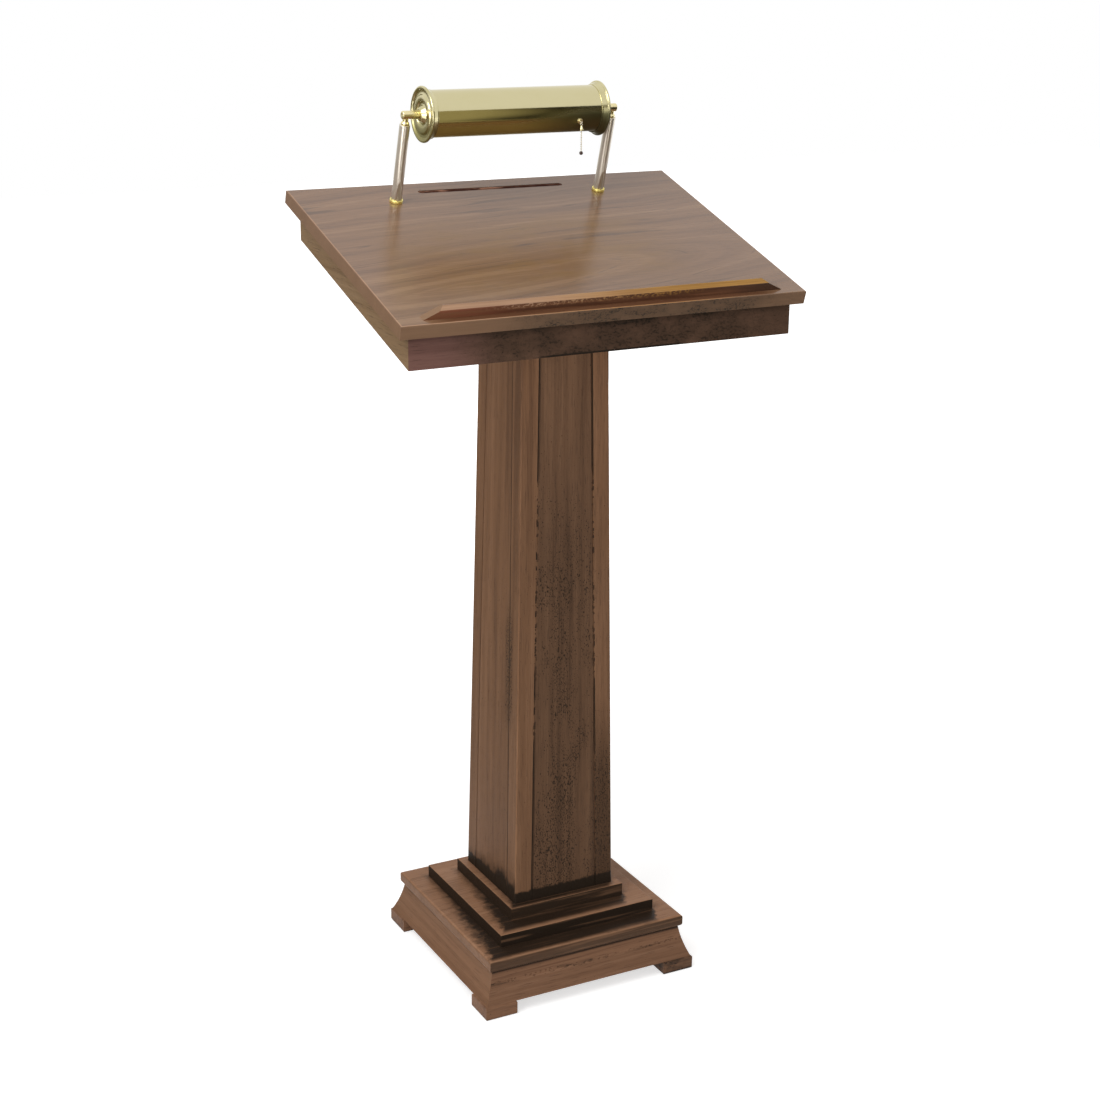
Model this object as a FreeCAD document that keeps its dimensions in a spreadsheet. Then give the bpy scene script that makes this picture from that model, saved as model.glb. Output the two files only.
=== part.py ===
"""A free-standing wooden lectern with a brass reading lamp.

The frame: +X to the reader's right, +Y away from the reader, +Z up, with the origin on the floor
under the column's axis. The desk has a frame of its own: v runs up its slope from the front edge,
and w stands square to the board, with w = 0 on the board's face.
"""
import FreeCAD, Part
import math
import os
import re
import Sketcher

doc = FreeCAD.newDocument("lectern")

# Driving dimensions, in millimetres and degrees
DIMENSIONS = [
    ("desk_width", 610, "board, left to right"),
    ("desk_depth", 416, "board, up the slope"),
    ("desk_thickness", 19, "board"),
    ("desk_slope", 17.2, "board from level"),
    ("desk_front_height", 1031.5, "front top edge above the floor"),
    ("desk_edge_round", 1.5, "board's upper arrises"),
    ("groove_length", 232, "pen groove, end to end"),
    ("groove_width", 9, "pen groove"),
    ("groove_depth", 7, "pen groove"),
    ("groove_from_back", 30, "pen groove's centre line from the back edge"),
    ("apron_inset", 16, "apron in from the desk's outline, in plan"),
    ("apron_thickness", 19, "apron boards"),
    ("apron_depth", 44, "apron, square to the board"),
    ("plate_length", 300, "mounting plate, left to right"),
    ("plate_depth", 240, "mounting plate, up the slope"),
    ("plate_thickness", 19, "mounting plate"),
    ("ledge_length", 541, "book ledge along its foot"),
    ("ledge_width", 12, "book ledge, up the slope"),
    ("ledge_setback", 11.5, "book ledge from the board's front edge"),
    ("ledge_front_height", 11.5, "book ledge's front face"),
    ("ledge_height", 14.6, "book ledge at its back"),
    ("ledge_rake", 30, "run of each sloping end"),
    ("ledge_front_round", 2, "front arris"),
    ("ledge_back_round", 2.5, "back arris"),
    ("column_foot_width", 164, "column at its foot, square"),
    ("column_taper", 33, "width lost per metre of height"),
    ("column_post_width", 28, "corner posts, square"),
    ("column_arris", 1.5, "chamfer on each corner post's outer edge"),
    ("panel_thickness", 19, "column panels"),
    ("panel_bevel", 1.2, "bevel along each panel's outer edges"),
    ("foot_block_height", 60, "block in the column's foot"),
    ("head_block_reach", 70, "block in the column's head, below the desk's front edge"),
    ("base_width", 323, "base slab, square"),
    ("slab_thickness", 19, "base slab"),
    ("slab_top_round", 4, "slab's upper arris"),
    ("slab_under_round", 6, "slab's lower arris"),
    ("middle_width", 256, "middle step, square"),
    ("upper_width", 188, "upper step, square"),
    ("step_thickness", 19, "each step"),
    ("step_arris", 1, "rounding of the steps' upper edges"),
    ("rail_height", 47, "base rails"),
    ("rail_thickness", 16, "base rails at the top"),
    ("rail_setback", 5, "rails' top in from the slab's edge"),
    ("rail_flare", 15, "rails' foot out from their top"),
    ("rail_cove", 170, "radius of the rails' hollow face"),
    ("foot_side", 50, "foot pads, square"),
    ("foot_height", 20.5, "foot pads"),
    ("foot_toe", 2, "pads out from the rails' foot"),
    ("foot_round", 2, "pads' upper edges"),
    ("foot_arris", 2.5, "pads' lower edges"),
    ("foot_screw_recess", 10, "screw heads up inside the pads"),
    ("block_side", 45, "glue blocks, square"),
    ("fit_gap", 0.05, "play between a round piece and its hole"),
    ("end_play", 0.3, "room beyond the end of a piece in a blind bore"),
    ("screw_shank", 4.5, "wood screws"),
    ("screw_head", 9, "wood screws' heads"),
    ("screw_head_height", 3, "wood screws' heads"),
    ("screw_tip", 4, "wood screws' points"),
    ("foot_screw_length", 50, "through the pads"),
    ("plate_screw_length", 50, "plate to column"),
    ("plate_screw_spread", 24, "from the plate's middle, each way"),
    ("desk_screw_length", 32, "plate to board"),
    ("desk_screw_spread", 95, "from the plate's middle, each way"),
    ("ledge_screw_length", 25, "board to ledge"),
    ("ledge_screw_spread", 200, "outer screws from the middle"),
    ("bolt_shank", 8, "column bolts"),
    ("bolt_head", 13, "column bolts, across the flats"),
    ("bolt_head_height", 5.5, "column bolts"),
    ("bolt_bite", 45, "column bolts' reach into the foot block"),
    ("bolt_spread", 30, "from the column's axis, each way"),
    ("washer_diameter", 22, "under the bolts' heads"),
    ("washer_thickness", 2, "under the bolts' heads"),
    ("lamp_from_back", 58.3, "lamp posts from the board's back edge"),
    ("lamp_height", 129, "shade's axis above the board"),
    ("lamp_post_diameter", 15, "lamp posts"),
    ("lamp_post_bore", 10, "lamp posts"),
    ("lamp_post_plug", 15, "solid foot of each lamp post"),
    ("flange_diameter", 18.6, "ring at each post's foot"),
    ("flange_height", 4.5, "ring at each post's foot"),
    ("flange_round", 1.6, "ring's upper edge"),
    ("nipple_diameter", 8, "threaded tube under each post"),
    ("nipple_bore", 5.5, "threaded tube under each post"),
    ("nipple_grip", 12, "threaded tube's reach into the post"),
    ("nipple_tail", 10, "threaded tube's reach below the board"),
    ("post_washer_diameter", 24, "under the board"),
    ("post_washer_thickness", 1.5, "under the board"),
    ("post_nut_width", 14, "under the board, across the flats"),
    ("post_nut_height", 6, "under the board"),
    ("head_height", 14, "shade's axis above the posts' tops"),
    ("collar_diameter", 11.8, "collar of each pivot head, on its post's rim"),
    ("collar_height", 3, "collar of each pivot head"),
    ("collar_spigot", 10, "pivot head's reach into the post"),
    ("neck_diameter", 8, "pivot head between collar and barrel"),
    ("barrel_diameter", 11.7, "pivot heads' barrels"),
    ("barrel_reach", 18, "barrel in from its post's axis"),
    ("barrel_overhang", 6, "barrel out from its post's axis"),
    ("barrel_end_wall", 4, "closed end of each barrel"),
    ("barrel_round", 1.5, "closed end's edge"),
    ("axle_diameter", 8, "hollow axles"),
    ("axle_bore", 5.5, "hollow axles"),
    ("axle_tail", 11, "axle inside its cap's wall"),
    ("axle_nut_width", 12, "on the axles, across the flats"),
    ("axle_nut_height", 4, "on the axles"),
    ("pivot_washer_diameter", 13, "between cap and barrel"),
    ("pivot_washer_thickness", 0.9, "between cap and barrel"),
    ("pivot_play", 0.1, "between washer and barrel"),
    ("shade_diameter", 66, "shade, outside"),
    ("shade_wall", 1, "shade"),
    ("shade_length", 254.6, "shade between its caps"),
    ("shade_mouth", 76, "angle that the shade is open over"),
    ("cap_overhang", 5.7, "caps' rims out from the shade"),
    ("cap_spigot", 6, "caps' reach into the shade"),
    ("cap_wall", 3, "caps"),
    ("cap_shoulder", 2, "ring against the shade's end"),
    ("cap_cove", 6, "hollow from the ring out to the rim, along the axis"),
    ("cap_cove_radius", 7.2, "hollow from the ring out to the rim"),
    ("cap_rim", 4, "rim, along the axis"),
    ("cap_arris", 1, "eased edges of rim and hub"),
    ("cap_dish", 2.5, "depth of the hollows in the caps' faces"),
    ("cap_land", 3.7, "rim's width on the face"),
    ("cap_fall", 1.9, "run of each slope down into a hollow"),
    ("cap_hollow", 5.6, "outer hollow's floor"),
    ("cap_inner_hollow", 3.1, "inner hollow's floor"),
    ("cap_hub_diameter", 19, "hub of each cap"),
    ("cap_hub", 4, "hub out from the rim's face"),
    ("cap_hub_flank", 3.7, "run of the hub's sloping side"),
    ("socket_diameter", 28, "lamp holder"),
    ("socket_length", 54, "lamp holder"),
    ("socket_neck", 14, "lamp holder's neck on the axle"),
    ("socket_shoulder", 5, "rounding of the holder's back"),
    ("socket_mouth", 17, "bore for the bulb's base"),
    ("socket_mouth_depth", 18, "bore for the bulb's base"),
    ("bulb_base", 16.4, "bulb's screw base"),
    ("bulb_contact", 8.2, "end of the bulb's base"),
    ("bulb_contact_height", 8, "taper at the end of the bulb's base"),
    ("bulb_diameter", 20.6, "bulb's glass"),
    ("bulb_glass_length", 140, "bulb's glass"),
    ("bulb_seat", 2, "bulb's glass from the holder"),
    ("chain_from_mouth", 22.4, "pull chain from the lamp holder's mouth"),
    ("guide_angle", 82.2, "chain guide, from the shade's mouth round to the front"),
    ("guide_diameter", 6, "chain guide"),
    ("guide_flange", 8.5, "chain guide"),
    ("guide_flange_height", 1.2, "chain guide"),
    ("guide_nose", 2.5, "chain guide out from the shade"),
    ("lead_diameter", 3, "switch lead"),
    ("lead_inner_reach", 4, "lead's inner end from the shade's axis"),
    ("lead_nose", 1.5, "lead out from the guide"),
    ("ring_radius", 1.7, "linked rings, to the wire's middle"),
    ("ring_wire", 0.9, "linked rings' wire"),
    ("bell_diameter", 5.8, "chain's bell"),
    ("bell_height", 7, "chain's bell"),
    ("bead_diameter", 2.2, "chain's beads"),
    ("bead_pitch", 3.2, "chain's beads"),
    ("bead_count", 9, "chain's beads"),
    ("chain_wire", 1.1, "wire between the beads"),
    ("ball_diameter", 5.4, "ball on the chain's end"),
]
sheet = doc.addObject("Spreadsheet::Sheet", "size")
for row, (alias, number, note) in enumerate(DIMENSIONS, start=1):
    sheet.set(f"A{row}", alias)
    sheet.set(f"B{row}", str(number))
    sheet.set(f"C{row}", note)
    sheet.setAlias(f"B{row}", alias)
doc.recompute()

ALIAS = re.compile(r"\b(" + "|".join(entry[0] for entry in DIMENSIONS) + r")\b")

# Heights and reaches that several pieces share, worked out from the driving dimensions
SLAB_FOOT = "(foot_height + rail_height)"
SLAB_TOP = f"({SLAB_FOOT} + slab_thickness)"
MIDDLE_TOP = f"({SLAB_TOP} + step_thickness)"
COLUMN_FOOT = f"({MIDDLE_TOP} + step_thickness)"
RAIL_TOP_REACH = "(base_width / 2 - rail_setback)"
RAIL_FOOT_REACH = f"({RAIL_TOP_REACH} + rail_flare)"
RAIL_INNER_REACH = f"({RAIL_TOP_REACH} - rail_thickness)"
FOOT_REACH = f"({RAIL_FOOT_REACH} + foot_toe)"
FOOT_SCREW_REACH = f"(({FOOT_REACH} - foot_side + {RAIL_INNER_REACH}) / 2)"
SCREW_HOLE = "(screw_shank / 2 + fit_gap)"
SCREW_HEAD_HOLE = "(screw_head / 2 + fit_gap)"
BOLT_HOLE = "(bolt_shank / 2 + fit_gap)"
DESK_REACH = "((desk_depth * cos(desk_slope) + desk_thickness * sin(desk_slope)) / 2)"
PLATE_FOOT = "(desk_thickness + plate_thickness)"
LAMP_V = "(desk_depth - lamp_from_back)"
POST_HEIGHT = "(lamp_height - head_height)"
SHADE_END = "(shade_length / 2)"
SHADE_BORE = "(shade_diameter / 2 - shade_wall)"
CAP_FACE = f"({SHADE_END} + cap_shoulder + cap_cove + cap_rim)"
CAP_HUB_END = f"({CAP_FACE} + cap_hub)"
CAP_INNER = f"({CAP_FACE} - cap_dish - cap_wall)"
BARREL_END = f"({CAP_HUB_END} + pivot_washer_thickness + pivot_play)"
POST_X = f"({BARREL_END} + barrel_reach)"
BARREL_OUTER = f"({POST_X} + barrel_overhang)"
SOCKET_BACK = f"({CAP_INNER} - axle_nut_height)"
SOCKET_FRONT = f"({SOCKET_BACK} - socket_length - socket_shoulder)"
GUIDE_END = "(shade_diameter / 2 + guide_nose)"
CHAIN_X = f"({SOCKET_FRONT} + chain_from_mouth)"
EYE_REACH = f"({GUIDE_END} + lead_nose + ring_radius)"

SIDES = {"left": -1, "right": 1}
ENDS = {"front": -1, "back": 1}
QUARTERS = {"front": 0, "right": 90, "back": 180, "left": 270}

nodes = []


def sized(text):
    """The expression with every dimension's name pointed at its cell."""
    return ALIAS.sub(r"size.\1", text)


def value(text):
    """The number that an expression comes to now."""
    return float(sheet.evalExpression(sized(text)))


def bind(item, path, text):
    """Tie one property of an item to an expression."""
    item.setExpression(path, sized(text))


def new_body(name):
    """An empty body for one node, or for one group of like fasteners."""
    body = doc.addObject("PartDesign::Body", name)
    body.Label = name
    nodes.append(body)
    return body


def origin_of(body, role):
    """One of a body's own origin planes or axes."""
    return next(item for item in body.Origin.OriginFeatures if item.Role == role)


def column_half(height):
    """Half the column's width at a height above the floor."""
    return f"(column_foot_width / 2 - ({height} - {COLUMN_FOOT}) * column_taper / 2000)"


def desk_y(v, w):
    """Distance back from the column's axis, of a point in the desk's own frame."""
    return f"(({v}) * cos(desk_slope) - ({w}) * sin(desk_slope) - {DESK_REACH})"


def desk_z(v, w):
    """Height above the floor, of a point in the desk's own frame."""
    return f"(desk_front_height + ({v}) * sin(desk_slope) + ({w}) * cos(desk_slope))"


# Where the column's axis meets the mounting plate's underside, up the slope
PLATE_V = f"(({DESK_REACH} - {PLATE_FOOT} * sin(desk_slope)) / cos(desk_slope))"
LAMP_Y = desk_y(LAMP_V, "lamp_height")
LAMP_Z = desk_z(LAMP_V, "lamp_height")


def place(item, y="0", z="0", turn="0", axis=(1, 0, 0)):
    """Place an item at y and z, turned about an axis through its own origin."""
    item.Placement = FreeCAD.Placement(FreeCAD.Vector(), FreeCAD.Rotation(FreeCAD.Vector(*axis), 1))
    bind(item, "Placement.Base.y", y)
    bind(item, "Placement.Base.z", z)
    bind(item, "Placement.Rotation.Angle", turn)


def place_on_desk(item, v="0", w="0"):
    """Place an item in the desk's own frame, with its origin at v and w."""
    place(item, desk_y(v, w), desk_z(v, w), "desk_slope")


def sketch_on(body, role, offset="0"):
    """An empty sketch on one of a body's origin planes, moved along the plane's normal."""
    sketch = body.newObject("Sketcher::SketchObject", f"{body.Name}_sketch")
    sketch.AttachmentSupport = [(origin_of(body, role), "")]
    sketch.MapMode = "FlatFace"
    bind(sketch, "AttachmentOffset.Base.z", offset)
    return sketch


def tilted_sketch(body, y, z, turn):
    """An empty sketch on the level plane, turned about X and moved to y and z."""
    sketch = sketch_on(body, "XY_Plane")
    sketch.AttachmentOffset = FreeCAD.Placement(FreeCAD.Vector(),
                                                FreeCAD.Rotation(FreeCAD.Vector(1, 0, 0), 1))
    bind(sketch, "AttachmentOffset.Base.y", y)
    bind(sketch, "AttachmentOffset.Base.z", z)
    bind(sketch, "AttachmentOffset.Rotation.Angle", turn)
    return sketch


def tie(sketch, kind, places, text):
    """Add one dimension to a sketch and tie it to an expression."""
    index = sketch.addConstraint(Sketcher.Constraint(kind, *places, value(text)))
    bind(sketch, f"Constraints[{index}]", text)


def arc_between(start, end, radius, centre_on_left):
    """The shorter arc of a radius from start to end, and whether it runs that way round."""
    chord = end - start
    across = FreeCAD.Vector(-chord.y, chord.x, 0).normalize()
    rise = math.sqrt(max(radius ** 2 - chord.Length ** 2 / 4, 0))
    centre = (start + end) * 0.5 + across * (rise if centre_on_left else -rise)
    first, last = (start, end) if centre_on_left else (end, start)
    angles = [math.atan2(point.y - centre.y, point.x - centre.x) for point in (first, last)]
    circle = Part.Circle(centre, FreeCAD.Vector(0, 0, 1), radius)
    return Part.ArcOfCircle(circle, *angles)


def draw_outline(sketch, corners, arcs=None):
    """A closed outline with every corner tied to its two expressions.

    arcs gives, for an edge by its first corner's number, a radius and the side its centre is on,
    as seen when going round the outline.
    """
    arcs = arcs or {}
    points = [FreeCAD.Vector(value(x), value(y), 0) for x, y in corners]
    count = len(points)
    first = sketch.GeometryCount
    starts = []
    ends = []
    for number in range(count):
        start, end = points[number], points[(number + 1) % count]
        if number in arcs:
            radius, side = arcs[number]
            edge = sketch.addGeometry(arc_between(start, end, value(radius), side == "left"), False)
            forward = side == "left"
            starts.append((edge, 1 if forward else 2))
            ends.append((edge, 2 if forward else 1))
        else:
            edge = sketch.addGeometry(Part.LineSegment(start, end), False)
            starts.append((edge, 1))
            ends.append((edge, 2))
    for number in range(count):
        following = starts[(number + 1) % count]
        sketch.addConstraint(Sketcher.Constraint("Coincident", *ends[number], *following))
        tie(sketch, "DistanceX", (-1, 1, *starts[number]), corners[number][0])
        tie(sketch, "DistanceY", (-1, 1, *starts[number]), corners[number][1])
    for number, (radius, side) in arcs.items():
        tie(sketch, "Radius", (first + number,), radius)


def draw_rectangle(sketch, left, low, right, high):
    """A rectangle from its four sides' positions."""
    draw_outline(sketch, [(left, low), (right, low), (right, high), (left, high)])


def draw_circles(sketch, spots, radius):
    """Equal circles, each tied to its centre's two expressions."""
    for x, y in spots:
        centre = FreeCAD.Vector(value(x), value(y), 0)
        circle = Part.Circle(centre, FreeCAD.Vector(0, 0, 1), value(radius))
        edge = sketch.addGeometry(circle, False)
        tie(sketch, "DistanceX", (-1, 1, edge, 3), x)
        tie(sketch, "DistanceY", (-1, 1, edge, 3), y)
        tie(sketch, "Radius", (edge,), radius)


def square_spots(spread):
    """The four corners of a square about the origin."""
    return [(f"{a} * {spread}", f"{b} * {spread}") for a in (-1, 1) for b in (-1, 1)]


def pad(body, sketch, length, down=False, both_ways=False):
    """Stretch a sketch into a solid along its normal."""
    feature = body.newObject("PartDesign::Pad", f"{body.Name}_pad")
    feature.Profile = sketch
    bind(feature, "Length", length)
    feature.Reversed = down
    if both_ways:
        feature.SideType = "Symmetric"
    doc.recompute()
    return feature


def turn_solid(body, sketch, axis):
    """Turn a sketch about one of its own axes."""
    feature = body.newObject("PartDesign::Revolution", f"{body.Name}_turned")
    feature.Profile = sketch
    feature.ReferenceAxis = (sketch, [axis])
    feature.Angle = 360
    doc.recompute()
    return feature


def cut(body, sketch, length=None, up=False, both_ways=False):
    """Cut a sketch out of a body, through it or to a depth, below the sketch or above it."""
    before = body.Shape.Volume
    feature = body.newObject("PartDesign::Pocket", f"{body.Name}_cut")
    feature.Profile = sketch
    if length is None:
        feature.Type = "ThroughAll"
    else:
        bind(feature, "Length", length)
    feature.Reversed = up
    if both_ways:
        feature.SideType = "Symmetric"
    doc.recompute()
    if not body.Shape.Volume < before:
        raise RuntimeError(f"{body.Label}: a cut took nothing away")
    return feature


def trim_to_desk(body, w, above):
    """Cut away what lies above, or below, a plane parallel to the board."""
    sketch = tilted_sketch(body, desk_y("0", w), desk_z("0", w), "desk_slope")
    draw_rectangle(sketch, "-desk_width", "-desk_depth", "desk_width", "2 * desk_depth")
    return cut(body, sketch, up=above)


def loft(body, lower, upper):
    """A straight-sided solid between two sketches."""
    feature = body.newObject("PartDesign::AdditiveLoft", f"{body.Name}_loft")
    feature.Profile = lower
    feature.Sections = [upper]
    feature.Ruled = True
    doc.recompute()
    return feature


def round_edges(body, feature, radius, chosen):
    """Round those edges of a feature for which chosen(edge) is true."""
    names = [f"Edge{number}" for number, edge in enumerate(feature.Shape.Edges, start=1)
             if chosen(edge)]
    fillet = body.newObject("PartDesign::Fillet", f"{body.Name}_round")
    fillet.Base = (feature, names)
    bind(fillet, "Radius", radius)
    doc.recompute()
    return fillet


def lies_at(edge, axis, position):
    """Whether a whole edge lies at one position along an axis."""
    return all(abs(getattr(vertex.Point, axis) - position) < 1e-6 for vertex in edge.Vertexes)


def repeat_round(body, feature, count):
    """Repeat a feature at even steps round the body's Z axis."""
    pattern = body.newObject("PartDesign::PolarPattern", f"{body.Name}_pattern")
    pattern.Originals = [feature]
    pattern.Axis = (origin_of(body, "Z_Axis"), [""])
    pattern.Angle = 360
    pattern.Occurrences = count
    body.Tip = pattern
    doc.recompute()


def repeat_across(body, feature):
    """Repeat a feature on the other side of the body's YZ plane."""
    mirrored = body.newObject("PartDesign::Mirrored", f"{body.Name}_mirrored")
    mirrored.Originals = [feature]
    mirrored.MirrorPlane = (origin_of(body, "YZ_Plane"), [""])
    body.Tip = mirrored
    doc.recompute()


def hexagon(body, x, y, across_flats, foot, height, bore=None):
    """A hexagonal prism about an upright axis, with a round bore if one is given."""
    sketch = sketch_on(body, "XY_Plane", foot)
    corner = f"({across_flats} / 2 / cos(30))"
    draw_outline(sketch, [(f"({x} + {corner} * cos({60 * k}))", f"({y} + {corner} * sin({60 * k}))")
                          for k in range(6)])
    if bore:
        draw_circles(sketch, [(x, y)], bore)
    return pad(body, sketch, height)


def repeat_all_round(body, features, count):
    """Repeat several features together at even steps round the body's Z axis."""
    repeat_round(body, features[0], count)
    pattern = body.Tip
    pattern.Originals = features
    doc.recompute()


def upright_sketch(body, x, y):
    """An empty sketch on the front plane, moved so that its own upright axis passes x and y."""
    sketch = sketch_on(body, "XZ_Plane", f"-({y})")
    bind(sketch, "AttachmentOffset.Base.x", x)
    return sketch


def turn_screw(body, x, y, seat, length, way):
    """One wood screw whose head sits on the height seat and whose point lies up (1) or down (-1)."""
    sketch = upright_sketch(body, x, y)
    head = f"({seat} - {way} * screw_head_height)"
    tip = f"({seat} + {way} * {length})"
    draw_outline(sketch, [
        ("0", head), ("screw_head / 2", head), ("screw_head / 2", seat), ("screw_shank / 2", seat),
        ("screw_shank / 2", f"({tip} - {way} * screw_tip)"), ("0", tip)])
    return turn_solid(body, sketch, "V_Axis")


def make_foot(end, side):
    """A square pad with a rounded shoulder, holed for the screw that fixes it."""
    body = new_body(f"foot_{end}_{side}")
    x_way, y_way = SIDES[side], ENDS[end]
    sketch = sketch_on(body, "XY_Plane")
    inner = f"({FOOT_REACH} - foot_side)"
    draw_rectangle(sketch, f"{x_way} * {inner}", f"{y_way} * {inner}",
                   f"{x_way} * {FOOT_REACH}", f"{y_way} * {FOOT_REACH}")
    block = pad(body, sketch, "foot_height")
    top = value("foot_height")
    block = round_edges(body, block, "foot_round", lambda edge: lies_at(edge, "z", top))
    round_edges(body, block, "foot_arris", lambda edge: lies_at(edge, "z", 0))
    spot = [(f"{x_way} * {FOOT_SCREW_REACH}", f"{y_way} * {FOOT_SCREW_REACH}")]
    shank = sketch_on(body, "XY_Plane")
    draw_circles(shank, spot, SCREW_HOLE)
    cut(body, shank, up=True)
    recess = sketch_on(body, "XY_Plane")
    draw_circles(recess, spot, SCREW_HEAD_HOLE)
    cut(body, recess, "foot_screw_recess", up=True)


def make_glue_block(end, side):
    """The block that stiffens a mitred corner and takes the foot's screw."""
    body = new_body(f"base_block_{end}_{side}")
    x_way, y_way = SIDES[side], ENDS[end]
    inner = f"({RAIL_INNER_REACH} - block_side)"
    sketch = sketch_on(body, "XY_Plane", "foot_height")
    draw_rectangle(sketch, f"{x_way} * {inner}", f"{y_way} * {inner}",
                   f"{x_way} * {RAIL_INNER_REACH}", f"{y_way} * {RAIL_INNER_REACH}")
    pad(body, sketch, "rail_height")
    pilot = sketch_on(body, "XY_Plane", "foot_height")
    spot = [(f"{x_way} * {FOOT_SCREW_REACH}", f"{y_way} * {FOOT_SCREW_REACH}")]
    draw_circles(pilot, spot, SCREW_HOLE)
    cut(body, pilot, "(foot_screw_recess + foot_screw_length - foot_height + end_play)", up=True)


def make_base_rail(end, turn):
    """A hollow-faced rail that flares down to the feet, mitred at both ends."""
    body = new_body(f"base_rail_{end}")
    section = sketch_on(body, "YZ_Plane")
    draw_outline(section, [
        (f"-{RAIL_TOP_REACH}", SLAB_FOOT), (f"-{RAIL_FOOT_REACH}", "foot_height"),
        (f"-{RAIL_INNER_REACH}", "foot_height"), (f"-{RAIL_INNER_REACH}", SLAB_FOOT)],
        {0: ("rail_cove", "right")})
    pad(body, section, f"2 * {RAIL_FOOT_REACH}", both_ways=True)
    near = f"{RAIL_INNER_REACH} / 2"
    far = f"2 * {RAIL_FOOT_REACH}"
    for way in (-1, 1):
        mitre = sketch_on(body, "XY_Plane")
        draw_outline(mitre, [(f"{way} * {near}", f"-{near}"), (f"{way} * {far}", f"-{far}"),
                             (f"{way} * {far}", f"-{near}")])
        cut(body, mitre, up=True)
    place(body, turn=str(turn), axis=(0, 0, 1))


def make_plinth_step(name, width, foot, thickness):
    """One square step of the plinth, holed for the column's bolts."""
    body = new_body(name)
    sketch = sketch_on(body, "XY_Plane", foot)
    half = f"({width} / 2)"
    draw_rectangle(sketch, f"-{half}", f"-{half}", half, half)
    block = pad(body, sketch, thickness)
    top = value(f"{foot} + {thickness}")
    if name == "base_slab":
        block = round_edges(body, block, "slab_top_round", lambda edge: lies_at(edge, "z", top))
        low = value(foot)
        round_edges(body, block, "slab_under_round", lambda edge: lies_at(edge, "z", low))
    else:
        round_edges(body, block, "step_arris", lambda edge: lies_at(edge, "z", top))
    holes = sketch_on(body, "XY_Plane")
    draw_circles(holes, square_spots("bolt_spread"), BOLT_HOLE)
    cut(body, holes, up=True)


def make_foot_screws():
    """The four screws that go up through the foot pads."""
    body = new_body("foot_screws")
    screw = turn_screw(body, FOOT_SCREW_REACH, FOOT_SCREW_REACH, "foot_screw_recess",
                       "foot_screw_length", 1)
    repeat_round(body, screw, 4)


def column_sections(body, outline, foot, head):
    """Loft one column piece; outline(half) gives its corners for the column's half width."""
    lower = sketch_on(body, "XY_Plane", foot)
    draw_outline(lower, outline(column_half(foot)))
    upper = sketch_on(body, "XY_Plane", head)
    draw_outline(upper, outline(column_half(head)))
    return loft(body, lower, upper)


# A level above the sloping cut, to which the column's pieces run before they are trimmed
COLUMN_HEAD = "(desk_front_height + desk_depth / 2 * tan(desk_slope))"


def make_column_post(end, side):
    """A square corner post that leans in with the column's taper."""
    body = new_body(f"column_post_{end}_{side}")
    x_way, y_way = SIDES[side], ENDS[end]

    def outline(half):
        inner = f"({half} - column_post_width)"
        eased = f"({half} - column_arris)"
        corners = [(inner, inner), (half, inner), (half, eased), (eased, half), (inner, half)]
        return [(f"{x_way} * {x}", f"{y_way} * {y}") for x, y in corners]

    column_sections(body, outline, COLUMN_FOOT, COLUMN_HEAD)
    trim_to_desk(body, f"-{PLATE_FOOT}", above=True)


def make_column_panel(end):
    """A tapered board between two corner posts, flush with them and bevelled along its edges."""
    body = new_body(f"column_panel_{end}")
    along_x = end in ENDS
    way = ENDS[end] if along_x else SIDES[end]

    def outline(half):
        edge = f"({half} - column_post_width)"
        eased = f"({edge} - panel_bevel)"
        face = f"({half} - panel_bevel)"
        back = f"({half} - panel_thickness)"
        corners = [(f"-{edge}", back), (edge, back), (edge, face), (eased, half),
                   (f"-{eased}", half), (f"-{edge}", face)]
        if along_x:
            return [(along, f"{way} * {out}") for along, out in corners]
        return [(f"{way} * {out}", along) for along, out in corners]

    column_sections(body, outline, COLUMN_FOOT, COLUMN_HEAD)
    trim_to_desk(body, f"-{PLATE_FOOT}", above=True)


def block_outline(half):
    """The cross-shaped section that fills the column between its posts and panels."""
    arm = f"({half} - panel_thickness)"
    notch = f"({half} - column_post_width)"
    return [(arm, f"-{notch}"), (arm, notch), (notch, notch), (notch, arm),
            (f"-{notch}", arm), (f"-{notch}", notch), (f"-{arm}", notch), (f"-{arm}", f"-{notch}"),
            (f"-{notch}", f"-{notch}"), (f"-{notch}", f"-{arm}"), (notch, f"-{arm}"), (notch, f"-{notch}")]


def make_column_blocks():
    """The blocks inside the column's foot and head, holed for the bolts and the plate's screws."""
    foot = new_body("column_foot_block")
    column_sections(foot, block_outline, COLUMN_FOOT, f"({COLUMN_FOOT} + foot_block_height)")
    holes = sketch_on(foot, "XY_Plane", COLUMN_FOOT)
    draw_circles(holes, square_spots("bolt_spread"), BOLT_HOLE)
    cut(foot, holes, "(bolt_bite + end_play)", up=True)

    head = new_body("column_head_block")
    column_sections(head, block_outline, "(desk_front_height - head_block_reach)", COLUMN_HEAD)
    trim_to_desk(head, f"-{PLATE_FOOT}", above=True)
    pilots = tilted_sketch(head, desk_y(PLATE_V, f"-{PLATE_FOOT}"), desk_z(PLATE_V, f"-{PLATE_FOOT}"),
                           "desk_slope")
    draw_circles(pilots, square_spots("plate_screw_spread"), SCREW_HOLE)
    cut(head, pilots, "(plate_screw_length - plate_thickness + screw_head_height + end_play)")


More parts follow.
